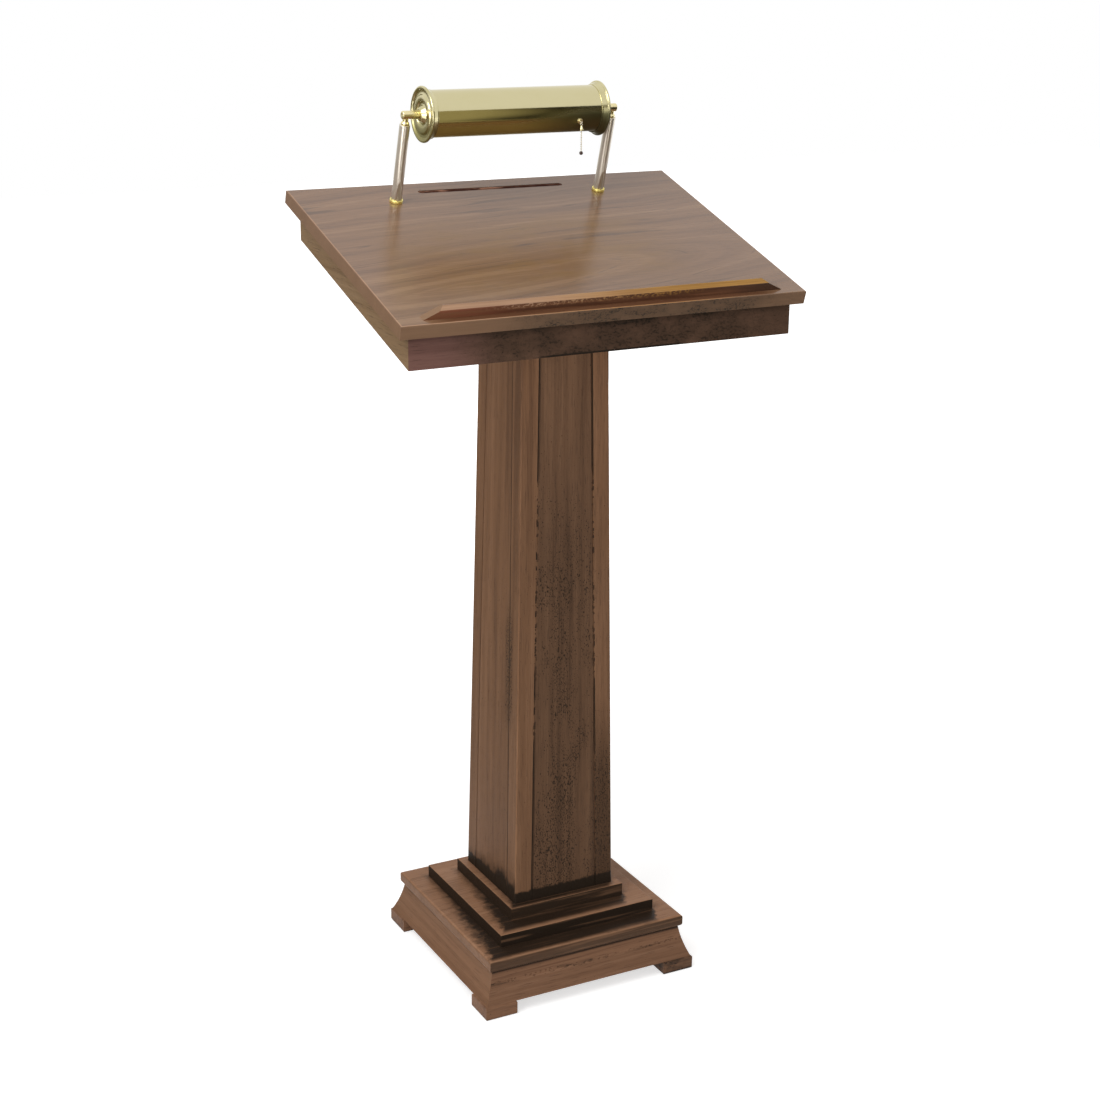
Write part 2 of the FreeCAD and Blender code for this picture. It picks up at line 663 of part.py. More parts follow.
def make_column_bolts():
    """The hexagon-headed bolts that hold the column down, and their washers."""
    bolts = new_body("column_bolts")
    seat = f"({SLAB_FOOT} - washer_thickness)"
    head = hexagon(bolts, "bolt_spread", "bolt_spread", "bolt_head", f"({seat} - bolt_head_height)",
                   "bolt_head_height")
    shank = sketch_on(bolts, "XY_Plane", seat)
    draw_circles(shank, [("bolt_spread", "bolt_spread")], "(bolt_shank / 2)")
    rod = pad(bolts, shank, f"({COLUMN_FOOT} + bolt_bite - {seat})")
    repeat_all_round(bolts, [head, rod], 4)

    washers = new_body("column_washers")
    ring = sketch_on(washers, "XY_Plane", seat)
    spot = [("bolt_spread", "bolt_spread")]
    draw_circles(ring, spot, "(washer_diameter / 2)")
    draw_circles(ring, spot, BOLT_HOLE)
    repeat_round(washers, pad(washers, ring, "washer_thickness"), 4)


def make_mounting_plate():
    """The plate that joins column and desk, with its two sets of screws."""
    body = new_body("mounting_plate")
    face = "(-desk_thickness)"
    under = f"(-{PLATE_FOOT})"
    sketch = sketch_on(body, "XY_Plane", under)
    draw_rectangle(sketch, "-plate_length / 2", "-plate_depth / 2", "plate_length / 2", "plate_depth / 2")
    pad(body, sketch, "plate_thickness")
    for spread in ("plate_screw_spread", "desk_screw_spread"):
        holes = sketch_on(body, "XY_Plane", under)
        draw_circles(holes, square_spots(spread), SCREW_HOLE)
        cut(body, holes, up=True)
    recess = sketch_on(body, "XY_Plane", face)
    draw_circles(recess, square_spots("plate_screw_spread"), SCREW_HEAD_HOLE)
    cut(body, recess, "screw_head_height")

    down = new_body("plate_screws")
    seat = "(-desk_thickness - screw_head_height)"
    screw = turn_screw(down, "plate_screw_spread", "plate_screw_spread", seat, "plate_screw_length", -1)
    repeat_round(down, screw, 4)

    up = new_body("desk_screws")
    screw = turn_screw(up, "desk_screw_spread", "desk_screw_spread", under, "desk_screw_length", 1)
    repeat_round(up, screw, 4)
    for item in (body, down, up):
        place_on_desk(item, PLATE_V)


def ledge_screw_spots():
    """Where the book ledge's screws stand on the board."""
    v = "(ledge_setback + ledge_width / 2)"
    return [(f"{step} * ledge_screw_spread", v) for step in (-1, 0, 1)]


def make_desk_board():
    """The sloping board with its pen groove and the holes for what is fixed to it."""
    body = new_body("desk_board")
    sketch = sketch_on(body, "XY_Plane")
    draw_rectangle(sketch, "-desk_width / 2", "0", "desk_width / 2", "desk_depth")
    board = pad(body, sketch, "desk_thickness", down=True)
    round_edges(body, board, "desk_edge_round", lambda edge: lies_at(edge, "z", 0))

    middle = "(desk_depth - groove_from_back)"
    half = "(groove_length / 2 - groove_width / 2)"
    run = sketch_on(body, "XY_Plane")
    draw_rectangle(run, f"-{half}", f"({middle} - groove_width / 2)", half, f"({middle} + groove_width / 2)")
    cut(body, run, "groove_depth")
    ends = sketch_on(body, "XY_Plane")
    draw_circles(ends, [(f"-{half}", middle), (half, middle)], "(groove_width / 2)")
    cut(body, ends, "groove_depth")

    posts = sketch_on(body, "XY_Plane")
    draw_circles(posts, [(f"{way} * {POST_X}", LAMP_V) for way in (-1, 1)],
                 "(nipple_diameter / 2 + fit_gap)")
    cut(body, posts)
    pilots = sketch_on(body, "XY_Plane", "-desk_thickness")
    spots = [(x, f"({PLATE_V} + {y})") for x, y in square_spots("desk_screw_spread")]
    draw_circles(pilots, spots, SCREW_HOLE)
    cut(body, pilots, "(desk_screw_length - plate_thickness + end_play)", up=True)
    shanks = sketch_on(body, "XY_Plane")
    draw_circles(shanks, ledge_screw_spots(), SCREW_HOLE)
    cut(body, shanks)
    recess = sketch_on(body, "XY_Plane", "-desk_thickness")
    draw_circles(recess, ledge_screw_spots(), SCREW_HEAD_HOLE)
    cut(body, recess, "screw_head_height", up=True)
    place_on_desk(body)


def make_book_ledge():
    """The strip that stops a book, with raked ends, and the screws that hold it from below."""
    body = new_body("book_ledge")
    back = "(ledge_setback + ledge_width)"
    section = sketch_on(body, "YZ_Plane")
    draw_outline(section, [
        ("ledge_setback", "0"), (back, "0"), (back, "(ledge_height - ledge_back_round)"),
        (f"({back} - ledge_back_round)", "ledge_height"),
        ("(ledge_setback + ledge_front_round)", "ledge_front_height"),
        ("ledge_setback", "(ledge_front_height - ledge_front_round)")],
        {2: ("ledge_back_round", "left"), 4: ("ledge_front_round", "left")})
    pad(body, section, "ledge_length", both_ways=True)
    for way in (-1, 1):
        rake = sketch_on(body, "XZ_Plane")
        end = f"{way} * ledge_length / 2"
        inner = f"{way} * (ledge_length / 2 - ledge_rake)"
        beyond = f"{way} * (ledge_length / 2 + ledge_rake)"
        draw_outline(rake, [(end, "0"), (beyond, "0"), (beyond, "2 * ledge_height"),
                            (f"{way} * (ledge_length / 2 - 2 * ledge_rake)", "2 * ledge_height"),
                            (inner, "ledge_height")])
        cut(body, rake, both_ways=True)
    pilots = sketch_on(body, "XY_Plane")
    draw_circles(pilots, ledge_screw_spots(), SCREW_HOLE)
    cut(body, pilots, "(ledge_screw_length + screw_head_height - desk_thickness + end_play)", up=True)

    screws = new_body("ledge_screws")
    x, y = ledge_screw_spots()[0]
    screw = turn_screw(screws, x, y, "(screw_head_height - desk_thickness)", "ledge_screw_length", 1)
    line = screws.newObject("PartDesign::LinearPattern", "ledge_screws_pattern")
    line.Originals = [screw]
    line.Direction = (origin_of(screws, "X_Axis"), [""])
    bind(line, "Length", "2 * ledge_screw_spread")
    line.Occurrences = 3
    screws.Tip = line
    doc.recompute()
    for item in (body, screws):
        place_on_desk(item)


def make_apron(end):
    """A plumb apron board, mitred in plan, with its edges cut to the desk's slope."""
    body = new_body(f"apron_{end}")
    out_x = "(desk_width / 2 - apron_inset)"
    out_y = f"({DESK_REACH} - apron_inset)"
    in_x = f"({out_x} - apron_thickness)"
    in_y = f"({out_y} - apron_thickness)"
    if end in ENDS:
        way = ENDS[end]
        corners = [(f"-{out_x}", f"{way} * {out_y}"), (out_x, f"{way} * {out_y}"),
                   (in_x, f"{way} * {in_y}"), (f"-{in_x}", f"{way} * {in_y}")]
    else:
        way = SIDES[end]
        corners = [(f"{way} * {out_x}", f"-{out_y}"), (f"{way} * {out_x}", out_y),
                   (f"{way} * {in_x}", in_y), (f"{way} * {in_x}", f"-{in_y}")]
    plan = sketch_on(body, "XY_Plane", "(desk_front_height / 2)")
    draw_outline(plan, corners)
    pad(body, plan, "desk_front_height")
    trim_to_desk(body, "-desk_thickness", above=True)
    trim_to_desk(body, "-(desk_thickness + apron_depth)", above=False)


def make_lamp_post(side):
    """A tube with a solid foot, and the ring that hides its joint with the board."""
    x = f"({SIDES[side]} * {POST_X})"
    post = new_body(f"lamp_post_{side}")
    outer = sketch_on(post, "XY_Plane")
    draw_circles(outer, [(x, "0")], "(lamp_post_diameter / 2)")
    pad(post, outer, POST_HEIGHT)
    bore = sketch_on(post, "XY_Plane", "lamp_post_plug")
    draw_circles(bore, [(x, "0")], "(lamp_post_bore / 2)")
    cut(post, bore, up=True)
    thread = sketch_on(post, "XY_Plane")
    draw_circles(thread, [(x, "0")], "(nipple_diameter / 2 + fit_gap)")
    cut(post, thread, "lamp_post_plug", up=True)

    flange = new_body(f"post_flange_{side}")
    ring = sketch_on(flange, "XY_Plane")
    draw_circles(ring, [(x, "0")], "(flange_diameter / 2)")
    draw_circles(ring, [(x, "0")], "(lamp_post_diameter / 2 + fit_gap)")
    disc = pad(flange, ring, "flange_height")
    top = value("flange_height")
    rim = value("flange_diameter / 2")
    round_edges(flange, disc, "flange_round",
                lambda edge: lies_at(edge, "z", top) and abs(edge.Curve.Radius - rim) < 1e-6)
    for item in (post, flange):
        place_on_desk(item, LAMP_V)


def make_post_fixings():
    """The threaded tubes, washers and nuts that clamp the lamp posts to the board."""
    x = POST_X
    under = "(-desk_thickness)"
    nipples = new_body("post_nipples")
    tube = sketch_on(nipples, "XY_Plane", f"({under} - nipple_tail)")
    draw_circles(tube, [(x, "0")], "(nipple_diameter / 2)")
    draw_circles(tube, [(x, "0")], "(nipple_bore / 2)")
    repeat_round(nipples, pad(nipples, tube, "(nipple_tail + desk_thickness + nipple_grip)"), 2)

    washers = new_body("post_washers")
    ring = sketch_on(washers, "XY_Plane", under)
    draw_circles(ring, [(x, "0")], "(post_washer_diameter / 2)")
    draw_circles(ring, [(x, "0")], "(nipple_diameter / 2 + fit_gap)")
    repeat_round(washers, pad(washers, ring, "post_washer_thickness", down=True), 2)

    nuts = new_body("post_nuts")
    nut = hexagon(nuts, x, "0", "post_nut_width",
                  f"({under} - post_washer_thickness - post_nut_height)", "post_nut_height",
                  "(nipple_diameter / 2 + fit_gap)")
    repeat_round(nuts, nut, 2)
    for item in (nipples, washers, nuts):
        place_on_desk(item, LAMP_V)


def make_pivot_head(side):
    """The T head on a lamp post: a turned neck plugged into the post, and the pivot's barrel."""
    way = SIDES[side]
    x = f"({way} * {POST_X})"
    body = new_body(f"pivot_head_{side}")
    post_top = "(-head_height)"
    spigot = "(lamp_post_bore / 2 - fit_gap)"
    spigot_foot = f"({post_top} - collar_spigot)"
    collar = "(collar_diameter / 2)"
    collar_top = f"({post_top} + collar_height)"
    neck = "(neck_diameter / 2)"
    turned = upright_sketch(body, x, "0")
    draw_outline(turned, [
        ("0", spigot_foot), (spigot, spigot_foot), (spigot, post_top), (collar, post_top),
        (collar, collar_top), (neck, f"({collar_top} + {collar} - {neck})"), (neck, "0"), ("0", "0")])
    turn_solid(body, turned, "V_Axis")
    outer_end = f"({way} * {BARREL_OUTER})"
    barrel = sketch_on(body, "YZ_Plane", outer_end)
    draw_circles(barrel, [("0", "0")], "(barrel_diameter / 2)")
    solid = pad(body, barrel, f"({BARREL_OUTER} - {BARREL_END})", down=way > 0)
    position = value(outer_end)
    round_edges(body, solid, "barrel_round", lambda edge: lies_at(edge, "x", position))
    bore = sketch_on(body, "YZ_Plane", f"({way} * ({BARREL_OUTER} - barrel_end_wall))")
    draw_circles(bore, [("0", "0")], "(axle_diameter / 2 + fit_gap)")
    cut(body, bore, up=way < 0)
    place_on_desk(body, LAMP_V, "lamp_height")


def place_on_lamp(item, turn="0"):
    """Place an item on the shade's axis, turned from the desk's own frame about that axis."""
    place(item, LAMP_Y, LAMP_Z, f"(desk_slope + {turn})")


def make_pivot_fixings():
    """The hollow axles that the shade turns on, with their nuts and friction washers."""
    axles = new_body("pivot_nipples")
    inner_end = f"({CAP_INNER} - axle_tail)"
    tube = sketch_on(axles, "YZ_Plane", inner_end)
    draw_circles(tube, [("0", "0")], "(axle_diameter / 2)")
    draw_circles(tube, [("0", "0")], "(axle_bore / 2)")
    reach = f"({BARREL_OUTER} - barrel_end_wall - end_play - {inner_end})"
    repeat_across(axles, pad(axles, tube, reach))

    nuts = new_body("pivot_nuts")
    section = sketch_on(nuts, "YZ_Plane", SOCKET_BACK)
    corner = "(axle_nut_width / 2 / cos(30))"
    draw_outline(section, [(f"({corner} * cos({60 * k}))", f"({corner} * sin({60 * k}))") for k in range(6)])
    draw_circles(section, [("0", "0")], "(axle_diameter / 2 + fit_gap)")
    repeat_across(nuts, pad(nuts, section, "axle_nut_height"))

    washers = new_body("pivot_washers")
    ring = sketch_on(washers, "YZ_Plane", CAP_HUB_END)
    draw_circles(ring, [("0", "0")], "(pivot_washer_diameter / 2)")
    draw_circles(ring, [("0", "0")], "(axle_diameter / 2 + fit_gap)")
    repeat_across(washers, pad(washers, ring, "pivot_washer_thickness"))
    for item in (axles, nuts, washers):
        place_on_lamp(item)


def make_shade_shell():
    """A rolled sheet tube, open along its underside, with a hole for the chain's guide."""
    body = new_body("shade_shell")
    half = "(shade_mouth / 2)"
    outer = "(shade_diameter / 2)"
    section = sketch_on(body, "YZ_Plane")
    # Each wall is drawn as four arcs, from the mouth's back edge over the top to its front edge
    steps = [f"(-90 + {half} + (360 - shade_mouth) * {k} / 4)" for k in range(5)]
    outside = [(f"({outer} * cos({a}))", f"({outer} * sin({a}))") for a in steps]
    inside = [(f"({SHADE_BORE} * cos({a}))", f"({SHADE_BORE} * sin({a}))") for a in reversed(steps)]
    arcs = {k: (outer, "left") for k in range(4)}
    arcs.update({k: (SHADE_BORE, "right") for k in range(5, 9)})
    draw_outline(section, outside + inside, arcs)
    pad(body, section, "shade_length", both_ways=True)
    hole = tilted_sketch(body, "0", "0", "-guide_angle")
    draw_circles(hole, [(CHAIN_X, "0")], "(guide_diameter / 2 + fit_gap)")
    cut(body, hole)
    place_on_lamp(body)


def make_shade_cap(side):
    """A turned end cap: a spigot in the shade, a ring, a hollow out to the rim, and a dished face."""
    way = SIDES[side]
    body = new_body(f"shade_cap_{side}")
    shell = "(shade_diameter / 2)"
    ring = f"({shell} + shade_wall)"
    spigot = f"({SHADE_BORE} - fit_gap)"
    rim = f"({shell} + cap_overhang)"
    rim_foot = f"({SHADE_END} + cap_shoulder + cap_cove)"
    floor = f"({CAP_FACE} - cap_dish)"
    hub = "(cap_hub_diameter / 2)"
    hub_foot = f"({hub} + cap_hub_flank)"
    hole = "(axle_diameter / 2 + fit_gap)"
    land = f"({rim} - cap_land)"
    hollow_start = f"({land} - cap_fall)"
    hollow_end = f"({hollow_start} - cap_hollow)"
    ring_start = f"({hollow_end} - cap_fall)"
    ring_end = f"({hub_foot} + cap_inner_hollow + cap_fall)"
    inner_wall = f"({spigot} - cap_wall)"
    corners = [
        (f"({SHADE_END} - cap_spigot)", spigot), (SHADE_END, spigot), (SHADE_END, ring),
        (f"({SHADE_END} + cap_shoulder)", ring), (rim_foot, f"({rim} - 2 * cap_arris)"),
        (rim_foot, f"({rim} - cap_arris)"), (f"({rim_foot} + cap_arris)", rim),
        (f"({CAP_FACE} - cap_arris)", rim), (CAP_FACE, f"({rim} - cap_arris)"), (CAP_FACE, land),
        (floor, hollow_start), (floor, hollow_end), (CAP_FACE, ring_start), (CAP_FACE, ring_end),
        (floor, f"({ring_end} - cap_fall)"), (floor, hub_foot),
        (f"({CAP_HUB_END} - cap_arris)", hub), (CAP_HUB_END, f"({hub} - cap_arris)"),
        (CAP_HUB_END, hole), (CAP_INNER, hole),
        (CAP_INNER, inner_wall), (f"({SHADE_END} - cap_spigot)", inner_wall)]
    hollow_side = {1: "left", -1: "right"}
    arcs = {3: ("cap_cove_radius", hollow_side[way])}
    section = sketch_on(body, "XZ_Plane")
    draw_outline(section, [(f"{way} * {x}", y) for x, y in corners], arcs)
    turn_solid(body, section, "H_Axis")
    place_on_lamp(body)


def make_socket_and_bulb():
    """The lamp holder, screwed on to the right axle, and the tube bulb in its mouth."""
    body = new_body("lamp_socket")
    outer = "(socket_diameter / 2)"
    neck = "(socket_neck / 2)"
    hole = "(axle_diameter / 2 + fit_gap)"
    mouth = "(socket_mouth / 2)"
    axle_end = f"({CAP_INNER} - axle_tail - end_play)"
    mouth_end = f"({SOCKET_FRONT} + socket_mouth_depth)"
    shoulder = f"({SOCKET_BACK} - socket_shoulder)"
    section = sketch_on(body, "XZ_Plane")
    draw_outline(section, [
        (SOCKET_FRONT, mouth), (SOCKET_FRONT, outer), (f"({shoulder} - socket_shoulder)", outer),
        (shoulder, f"({outer} - socket_shoulder)"), (shoulder, neck), (SOCKET_BACK, neck),
        (SOCKET_BACK, hole), (axle_end, hole), (axle_end, "0"), (mouth_end, "0"), (mouth_end, mouth)],
        {2: ("socket_shoulder", "right")})
    turn_solid(body, section, "H_Axis")
    start = "(lead_inner_reach - end_play)"
    bore = tilted_sketch(body, f"(-{start} * sin(guide_angle))", f"(-{start} * cos(guide_angle))",
                         "-guide_angle")
    draw_circles(bore, [(CHAIN_X, "0")], "(lead_diameter / 2 + fit_gap)")
    cut(body, bore)

    bulb = new_body("bulb")
    base = "(bulb_base / 2)"
    glass = "(bulb_diameter / 2)"
    base_end = f"({mouth_end} - end_play)"
    glass_start = f"({SOCKET_FRONT} - bulb_seat)"
    glass_end = f"({glass_start} - bulb_glass_length)"
    section = sketch_on(bulb, "XZ_Plane")
    draw_outline(section, [
        (base_end, "0"), (base_end, "(bulb_contact / 2)"),
        (f"({base_end} - bulb_contact_height)", base), (glass_start, base),
        (f"({glass_start} - bulb_seat)", glass), (f"({glass_end} + {glass})", glass), (glass_end, "0")],
        {5: (glass, "left")})
    turn_solid(bulb, section, "H_Axis")
    for item in (body, bulb):
        place_on_lamp(item)


def make_chain_guide():
    """The flanged bush in the shade's front that the switch lead slides in."""
    body = new_body("chain_guide")
    shell = "(shade_diameter / 2)"
    bore = "(lead_diameter / 2 + fit_gap)"
    barrel = "(guide_diameter / 2)"
    flange = "(guide_flange / 2)"
    inner_end = f"-({SHADE_BORE} - guide_flange_height)"
    flange_end = f"-({shell} + guide_flange_height)"
    section = upright_sketch(body, CHAIN_X, "0")
    draw_outline(section, [
        (bore, inner_end), (barrel, inner_end), (barrel, f"-{shell}"), (flange, f"-{shell}"),
        (flange, flange_end), (barrel, flange_end), (barrel, f"-{GUIDE_END}"), (bore, f"-{GUIDE_END}")])
    turn_solid(body, section, "V_Axis")
    place_on_lamp(body, "(-guide_angle)")


def ring_solid(name, plane_turn):
    """A closed wire ring about its own origin, turned from lying flat."""
    ring = doc.addObject("Part::Torus", name)
    bind(ring, "Radius1", "ring_radius")
    bind(ring, "Radius2", "(ring_wire / 2)")
    ring.Placement = FreeCAD.Placement(FreeCAD.Vector(), plane_turn)
    return ring


def rod_solid(name, diameter, length):
    """A plain round rod up from its own origin."""
    rod = doc.addObject("Part::Cylinder", name)
    bind(rod, "Radius", f"({diameter} / 2)")
    bind(rod, "Height", length)
    return rod


def join(name, pieces):
    """One solid made of several overlapping ones, as a node of its own."""
    whole = doc.addObject("Part::MultiFuse", name)
    whole.Shapes = pieces
    whole.Label = name
    nodes.append(whole)
    return whole


FACING_X = FreeCAD.Rotation(FreeCAD.Vector(0, 1, 0), 90)
FACING_Y = FreeCAD.Rotation(FreeCAD.Vector(1, 0, 0), 90)


def make_pull_lead():
    """The switch's rod, which slides in the guide and ends in a ring for the chain."""
    rod = rod_solid("lead_rod", "lead_diameter", f"({GUIDE_END} + lead_nose - lead_inner_reach)")
    bind(rod, "Placement.Base.x", CHAIN_X)
    bind(rod, "Placement.Base.z", f"(-{GUIDE_END} - lead_nose)")
    ring = ring_solid("lead_ring", FACING_X)
    bind(ring, "Placement.Base.x", CHAIN_X)
    bind(ring, "Placement.Base.z", f"(-{EYE_REACH})")
    place_on_lamp(join("pull_lead", [rod, ring]), "(-guide_angle)")


# The point where the chain's ring hangs in the lead's ring, about which the chain swings
HANG_GAP = "(ring_radius - ring_wire - fit_gap)"
EYE_TURN = "(guide_angle - desk_slope)"
HANG_Y = f"({LAMP_Y} - {EYE_REACH} * sin({EYE_TURN}))"
HANG_Z = f"({LAMP_Z} - {EYE_REACH} * cos({EYE_TURN}) - {HANG_GAP})"


def make_pull_chain():
    """A ring, a bell and a run of beads on a wire, hanging plumb, with a ball on the end."""
    ring = ring_solid("chain_ring", FACING_Y)
    bind(ring, "Placement.Base.z", "(-ring_radius)")
    bell = doc.addObject("Part::Cone", "chain_bell")
    bind(bell, "Radius1", "(bell_diameter / 2)")
    bind(bell, "Radius2", "(ring_wire / 2)")
    bind(bell, "Height", "bell_height")
    bell_top = "(2 * ring_radius - ring_wire / 2)"
    bind(bell, "Placement.Base.z", f"(-{bell_top} - bell_height)")
    run = "(bead_count * bead_pitch + ball_diameter / 2)"
    wire = rod_solid("chain_wire_run", "chain_wire", f"({run} + bell_height / 2)")
    bind(wire, "Placement.Base.z", f"(-{bell_top} - bell_height - {run})")
    beads = []
    for number in range(int(value("bead_count"))):
        bead = doc.addObject("Part::Sphere", f"chain_bead_{number}")
        bind(bead, "Radius", "(bead_diameter / 2)")
        bind(bead, "Placement.Base.z", f"(-{bell_top} - bell_height - bead_pitch * {number + 0.5})")
        beads.append(bead)
    chain = join("pull_chain", [ring, bell, wire] + beads)

    ball = doc.addObject("Part::Sphere", "ball_blank")
    bind(ball, "Radius", "(ball_diameter / 2)")
    drilled = rod_solid("ball_hole", "(chain_wire + 2 * fit_gap)", "ball_diameter")
    whole = doc.addObject("Part::Cut", "chain_ball")
    whole.Base = ball
    whole.Tool = drilled
    whole.Label = "chain_ball"
    nodes.append(whole)
    end = f"(-{bell_top} - bell_height - {run} - fit_gap)"
    for item, drop in ((chain, "0"), (whole, end)):
        bind(item, "Placement.Base.x", CHAIN_X)
        bind(item, "Placement.Base.y", HANG_Y)
        bind(item, "Placement.Base.z", f"({HANG_Z} + {drop})")


for end in ENDS:
    for side in SIDES:
        make_foot(end, side)
        make_glue_block(end, side)
for end, turn in QUARTERS.items():
    make_base_rail(end, turn)
make_foot_screws()
make_plinth_step("base_slab", "base_width", SLAB_FOOT, "slab_thickness")
make_plinth_step("middle_step", "middle_width", SLAB_TOP, "step_thickness")
make_plinth_step("upper_step", "upper_width", MIDDLE_TOP, "step_thickness")
for end in ENDS:
    for side in SIDES:
        make_column_post(end, side)
for end in QUARTERS:
    make_column_panel(end)
make_column_blocks()
make_column_bolts()
make_mounting_plate()
make_desk_board()
for end in QUARTERS:
    make_apron(end)
make_book_ledge()
for side in SIDES:
    make_lamp_post(side)
    make_pivot_head(side)
    make_shade_cap(side)
make_post_fixings()
make_pivot_fixings()
make_shade_shell()
make_socket_and_bulb()
make_chain_guide()
make_pull_lead()
make_pull_chain()

doc.recompute()
failed = [item.Name for item in doc.Objects if "Invalid" in item.State or "Error" in item.State]
failed += [node.Label for node in nodes if node.Shape.isNull() or not node.Shape.isValid()]
if failed:
    raise RuntimeError("failed: " + ", ".join(failed))

os.makedirs("parts", exist_ok=True)
for node in nodes:
    node.Shape.exportStep(os.path.join("parts", f"{node.Label}.step"))
print(len(nodes), "nodes written")
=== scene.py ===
"""A wooden lectern with a brass reading lamp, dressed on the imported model's frame. Metres, +Z up."""
import math

import bmesh
import bpy
import numpy as np
from mathutils import Matrix, Vector


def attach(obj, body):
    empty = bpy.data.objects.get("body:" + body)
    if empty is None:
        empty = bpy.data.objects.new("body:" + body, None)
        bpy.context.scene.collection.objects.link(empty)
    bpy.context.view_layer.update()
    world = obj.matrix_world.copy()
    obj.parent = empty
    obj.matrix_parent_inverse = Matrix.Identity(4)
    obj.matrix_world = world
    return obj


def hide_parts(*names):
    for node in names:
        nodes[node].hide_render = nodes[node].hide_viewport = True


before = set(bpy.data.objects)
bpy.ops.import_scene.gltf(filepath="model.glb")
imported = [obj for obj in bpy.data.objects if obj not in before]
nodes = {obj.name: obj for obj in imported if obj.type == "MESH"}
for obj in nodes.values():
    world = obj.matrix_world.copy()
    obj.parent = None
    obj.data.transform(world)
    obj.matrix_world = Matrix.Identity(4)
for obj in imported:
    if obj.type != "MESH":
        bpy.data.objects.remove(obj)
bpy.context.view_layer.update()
scene = bpy.context.scene
scene.view_settings.view_transform = "Standard"

# The view. The eye is a little above the desk and round to the reader's left, so the left side
# shows; the lens, the distance and the slight roll were fitted to the outlines of desk and base.
turn, rise, roll = (math.radians(angle) for angle in (-27.83, 17.49, 0.56))
towards_eye = Vector((math.sin(turn) * math.cos(rise), -math.cos(turn) * math.cos(rise), math.sin(rise)))
level = Vector((math.cos(turn), math.sin(turn), 0.0))
upright = towards_eye.cross(level)
rightward = math.cos(roll) * level + math.sin(roll) * upright
upward = math.cos(roll) * upright - math.sin(roll) * level
looked_at = Vector((0.01403, 0.0, 0.63914))
eye_distance = 2.90226
eye = bpy.data.objects.new("eye", bpy.data.cameras.new("eye"))
eye.data.sensor_width = 36.0
eye.data.lens = 64.93
facing = Matrix((rightward, upward, towards_eye)).transposed()
eye.matrix_world = Matrix.LocRotScale(looked_at + eye_distance * towards_eye, facing, None)
scene.collection.objects.link(eye)
scene.camera = eye


# The studio: a white sweep with a pale floor, a large soft light high on the left and three weaker ones
# low down, at the left, in front and behind. Dark cards before and beside it show only in polished faces,
# where their dim olive light is a painted reflection in the brass.
class Tone:
    """A socket of a node tree. Sums, differences and products of tones add Math nodes, so a mask
    reads as a formula; node() adds any other node, its settings first, then its inputs."""

    def __init__(self, tree, socket=None):
        self.tree = tree
        self.socket = socket

    def node(self, kind, settings, inputs, output=0):
        made = self.tree.nodes.new("ShaderNode" + kind)
        for key, choice in settings.items():
            setattr(made, key, choice)
        for key, given in inputs.items():
            if isinstance(given, Tone):
                self.tree.links.new(given.socket, made.inputs[key])
            else:
                made.inputs[key].default_value = given
        return Tone(self.tree, made.outputs[output] if made.outputs else None)

    def out(self, name):
        return Tone(self.tree, self.socket.node.outputs[name])

    def maths(self, operation, first, second):
        return self.node("Math", {"operation": operation}, {0: first, 1: second})

    def __add__(self, other):
        return self.maths("ADD", self, other)

    def __radd__(self, other):
        return self.maths("ADD", other, self)

    def __sub__(self, other):
        return self.maths("SUBTRACT", self, other)

    def __rsub__(self, other):
        return self.maths("SUBTRACT", other, self)

    def __mul__(self, other):
        return self.maths("MULTIPLY", self, other)

    def __rmul__(self, other):
        return self.maths("MULTIPLY", other, self)

    def __abs__(self):
        return self.maths("ABSOLUTE", self, 0.0)

    def most(self, other):
        return self.maths("MAXIMUM", self, other)

    def least(self, other):
        return self.maths("MINIMUM", self, other)


def blank_tree(owner):
    """The emptied node tree of a material or world, ready for new nodes."""
    owner.use_nodes = True
    owner.node_tree.nodes.clear()
    return Tone(owner.node_tree)


def parts_of(vector):
    """The x, y and z of a vector."""
    first = vector.node("SeparateXYZ", {}, {0: vector})
    return first, first.out("Y"), first.out("Z")


def shown(start):
    """1 where the picture, a polished face or glass looks straight at a surface."""
    path = start.node("LightPath", {}, {})
    return (path + path.out("Is Glossy Ray") + path.out("Is Transmission Ray")).least(1.0)


def add_piece(name, mesh):
    """An object at the origin, with its place in its mesh."""
    made = bpy.data.objects.new(name, mesh)
    scene.collection.objects.link(made)
    return made


def stage_sheet(name, corners, material):
    """One flat sheet of the studio, through four corners."""
    mesh = bpy.data.meshes.new(name)
    mesh.from_pydata(corners, [], [(0, 1, 2, 3)])
    mesh.materials.append(material)
    made = add_piece(name, mesh)
    return made


world = bpy.data.worlds.new("studio")
sky = blank_tree(world)
ambient = sky.node("Background", {}, {"Color": (1.0, 0.99, 0.975, 1.0), "Strength": 0.5})
white = sky.node("Background", {}, {"Color": (1.0, 1.0, 1.0, 1.0), "Strength": 1.0})
sky.node("OutputWorld", {}, {"Surface": sky.node("MixShader", {}, {0: shown(sky), 1: ambient, 2: white})})
scene.world = world

floor_paint = bpy.data.materials.new("floor_paint")
paint = blank_tree(floor_paint)
matt = paint.node("BsdfDiffuse", {}, {"Color": (0.72, 0.72, 0.72, 1.0)})
ground = paint.node("TexCoord", {}, {}, "Object")
distance = ground.node("VectorMath", {"operation": "LENGTH"}, {0: ground}, "Value")
far = distance.node("MapRange", {}, {"Value": distance, "From Min": 0.5, "From Max": 2.0, "To Min": 0.6})
haze = paint.node("Emission", {}, {"Strength": far * shown(paint)})
paint.node("OutputMaterial", {}, {"Surface": paint.node("AddShader", {}, {0: matt, 1: haze})})
floor_height = -0.0003
floor_corners = [(-9, -9), (9, -9), (9, 9), (-9, 9)]
stage_sheet("floor", [(x, y, floor_height) for x, y in floor_corners], floor_paint)
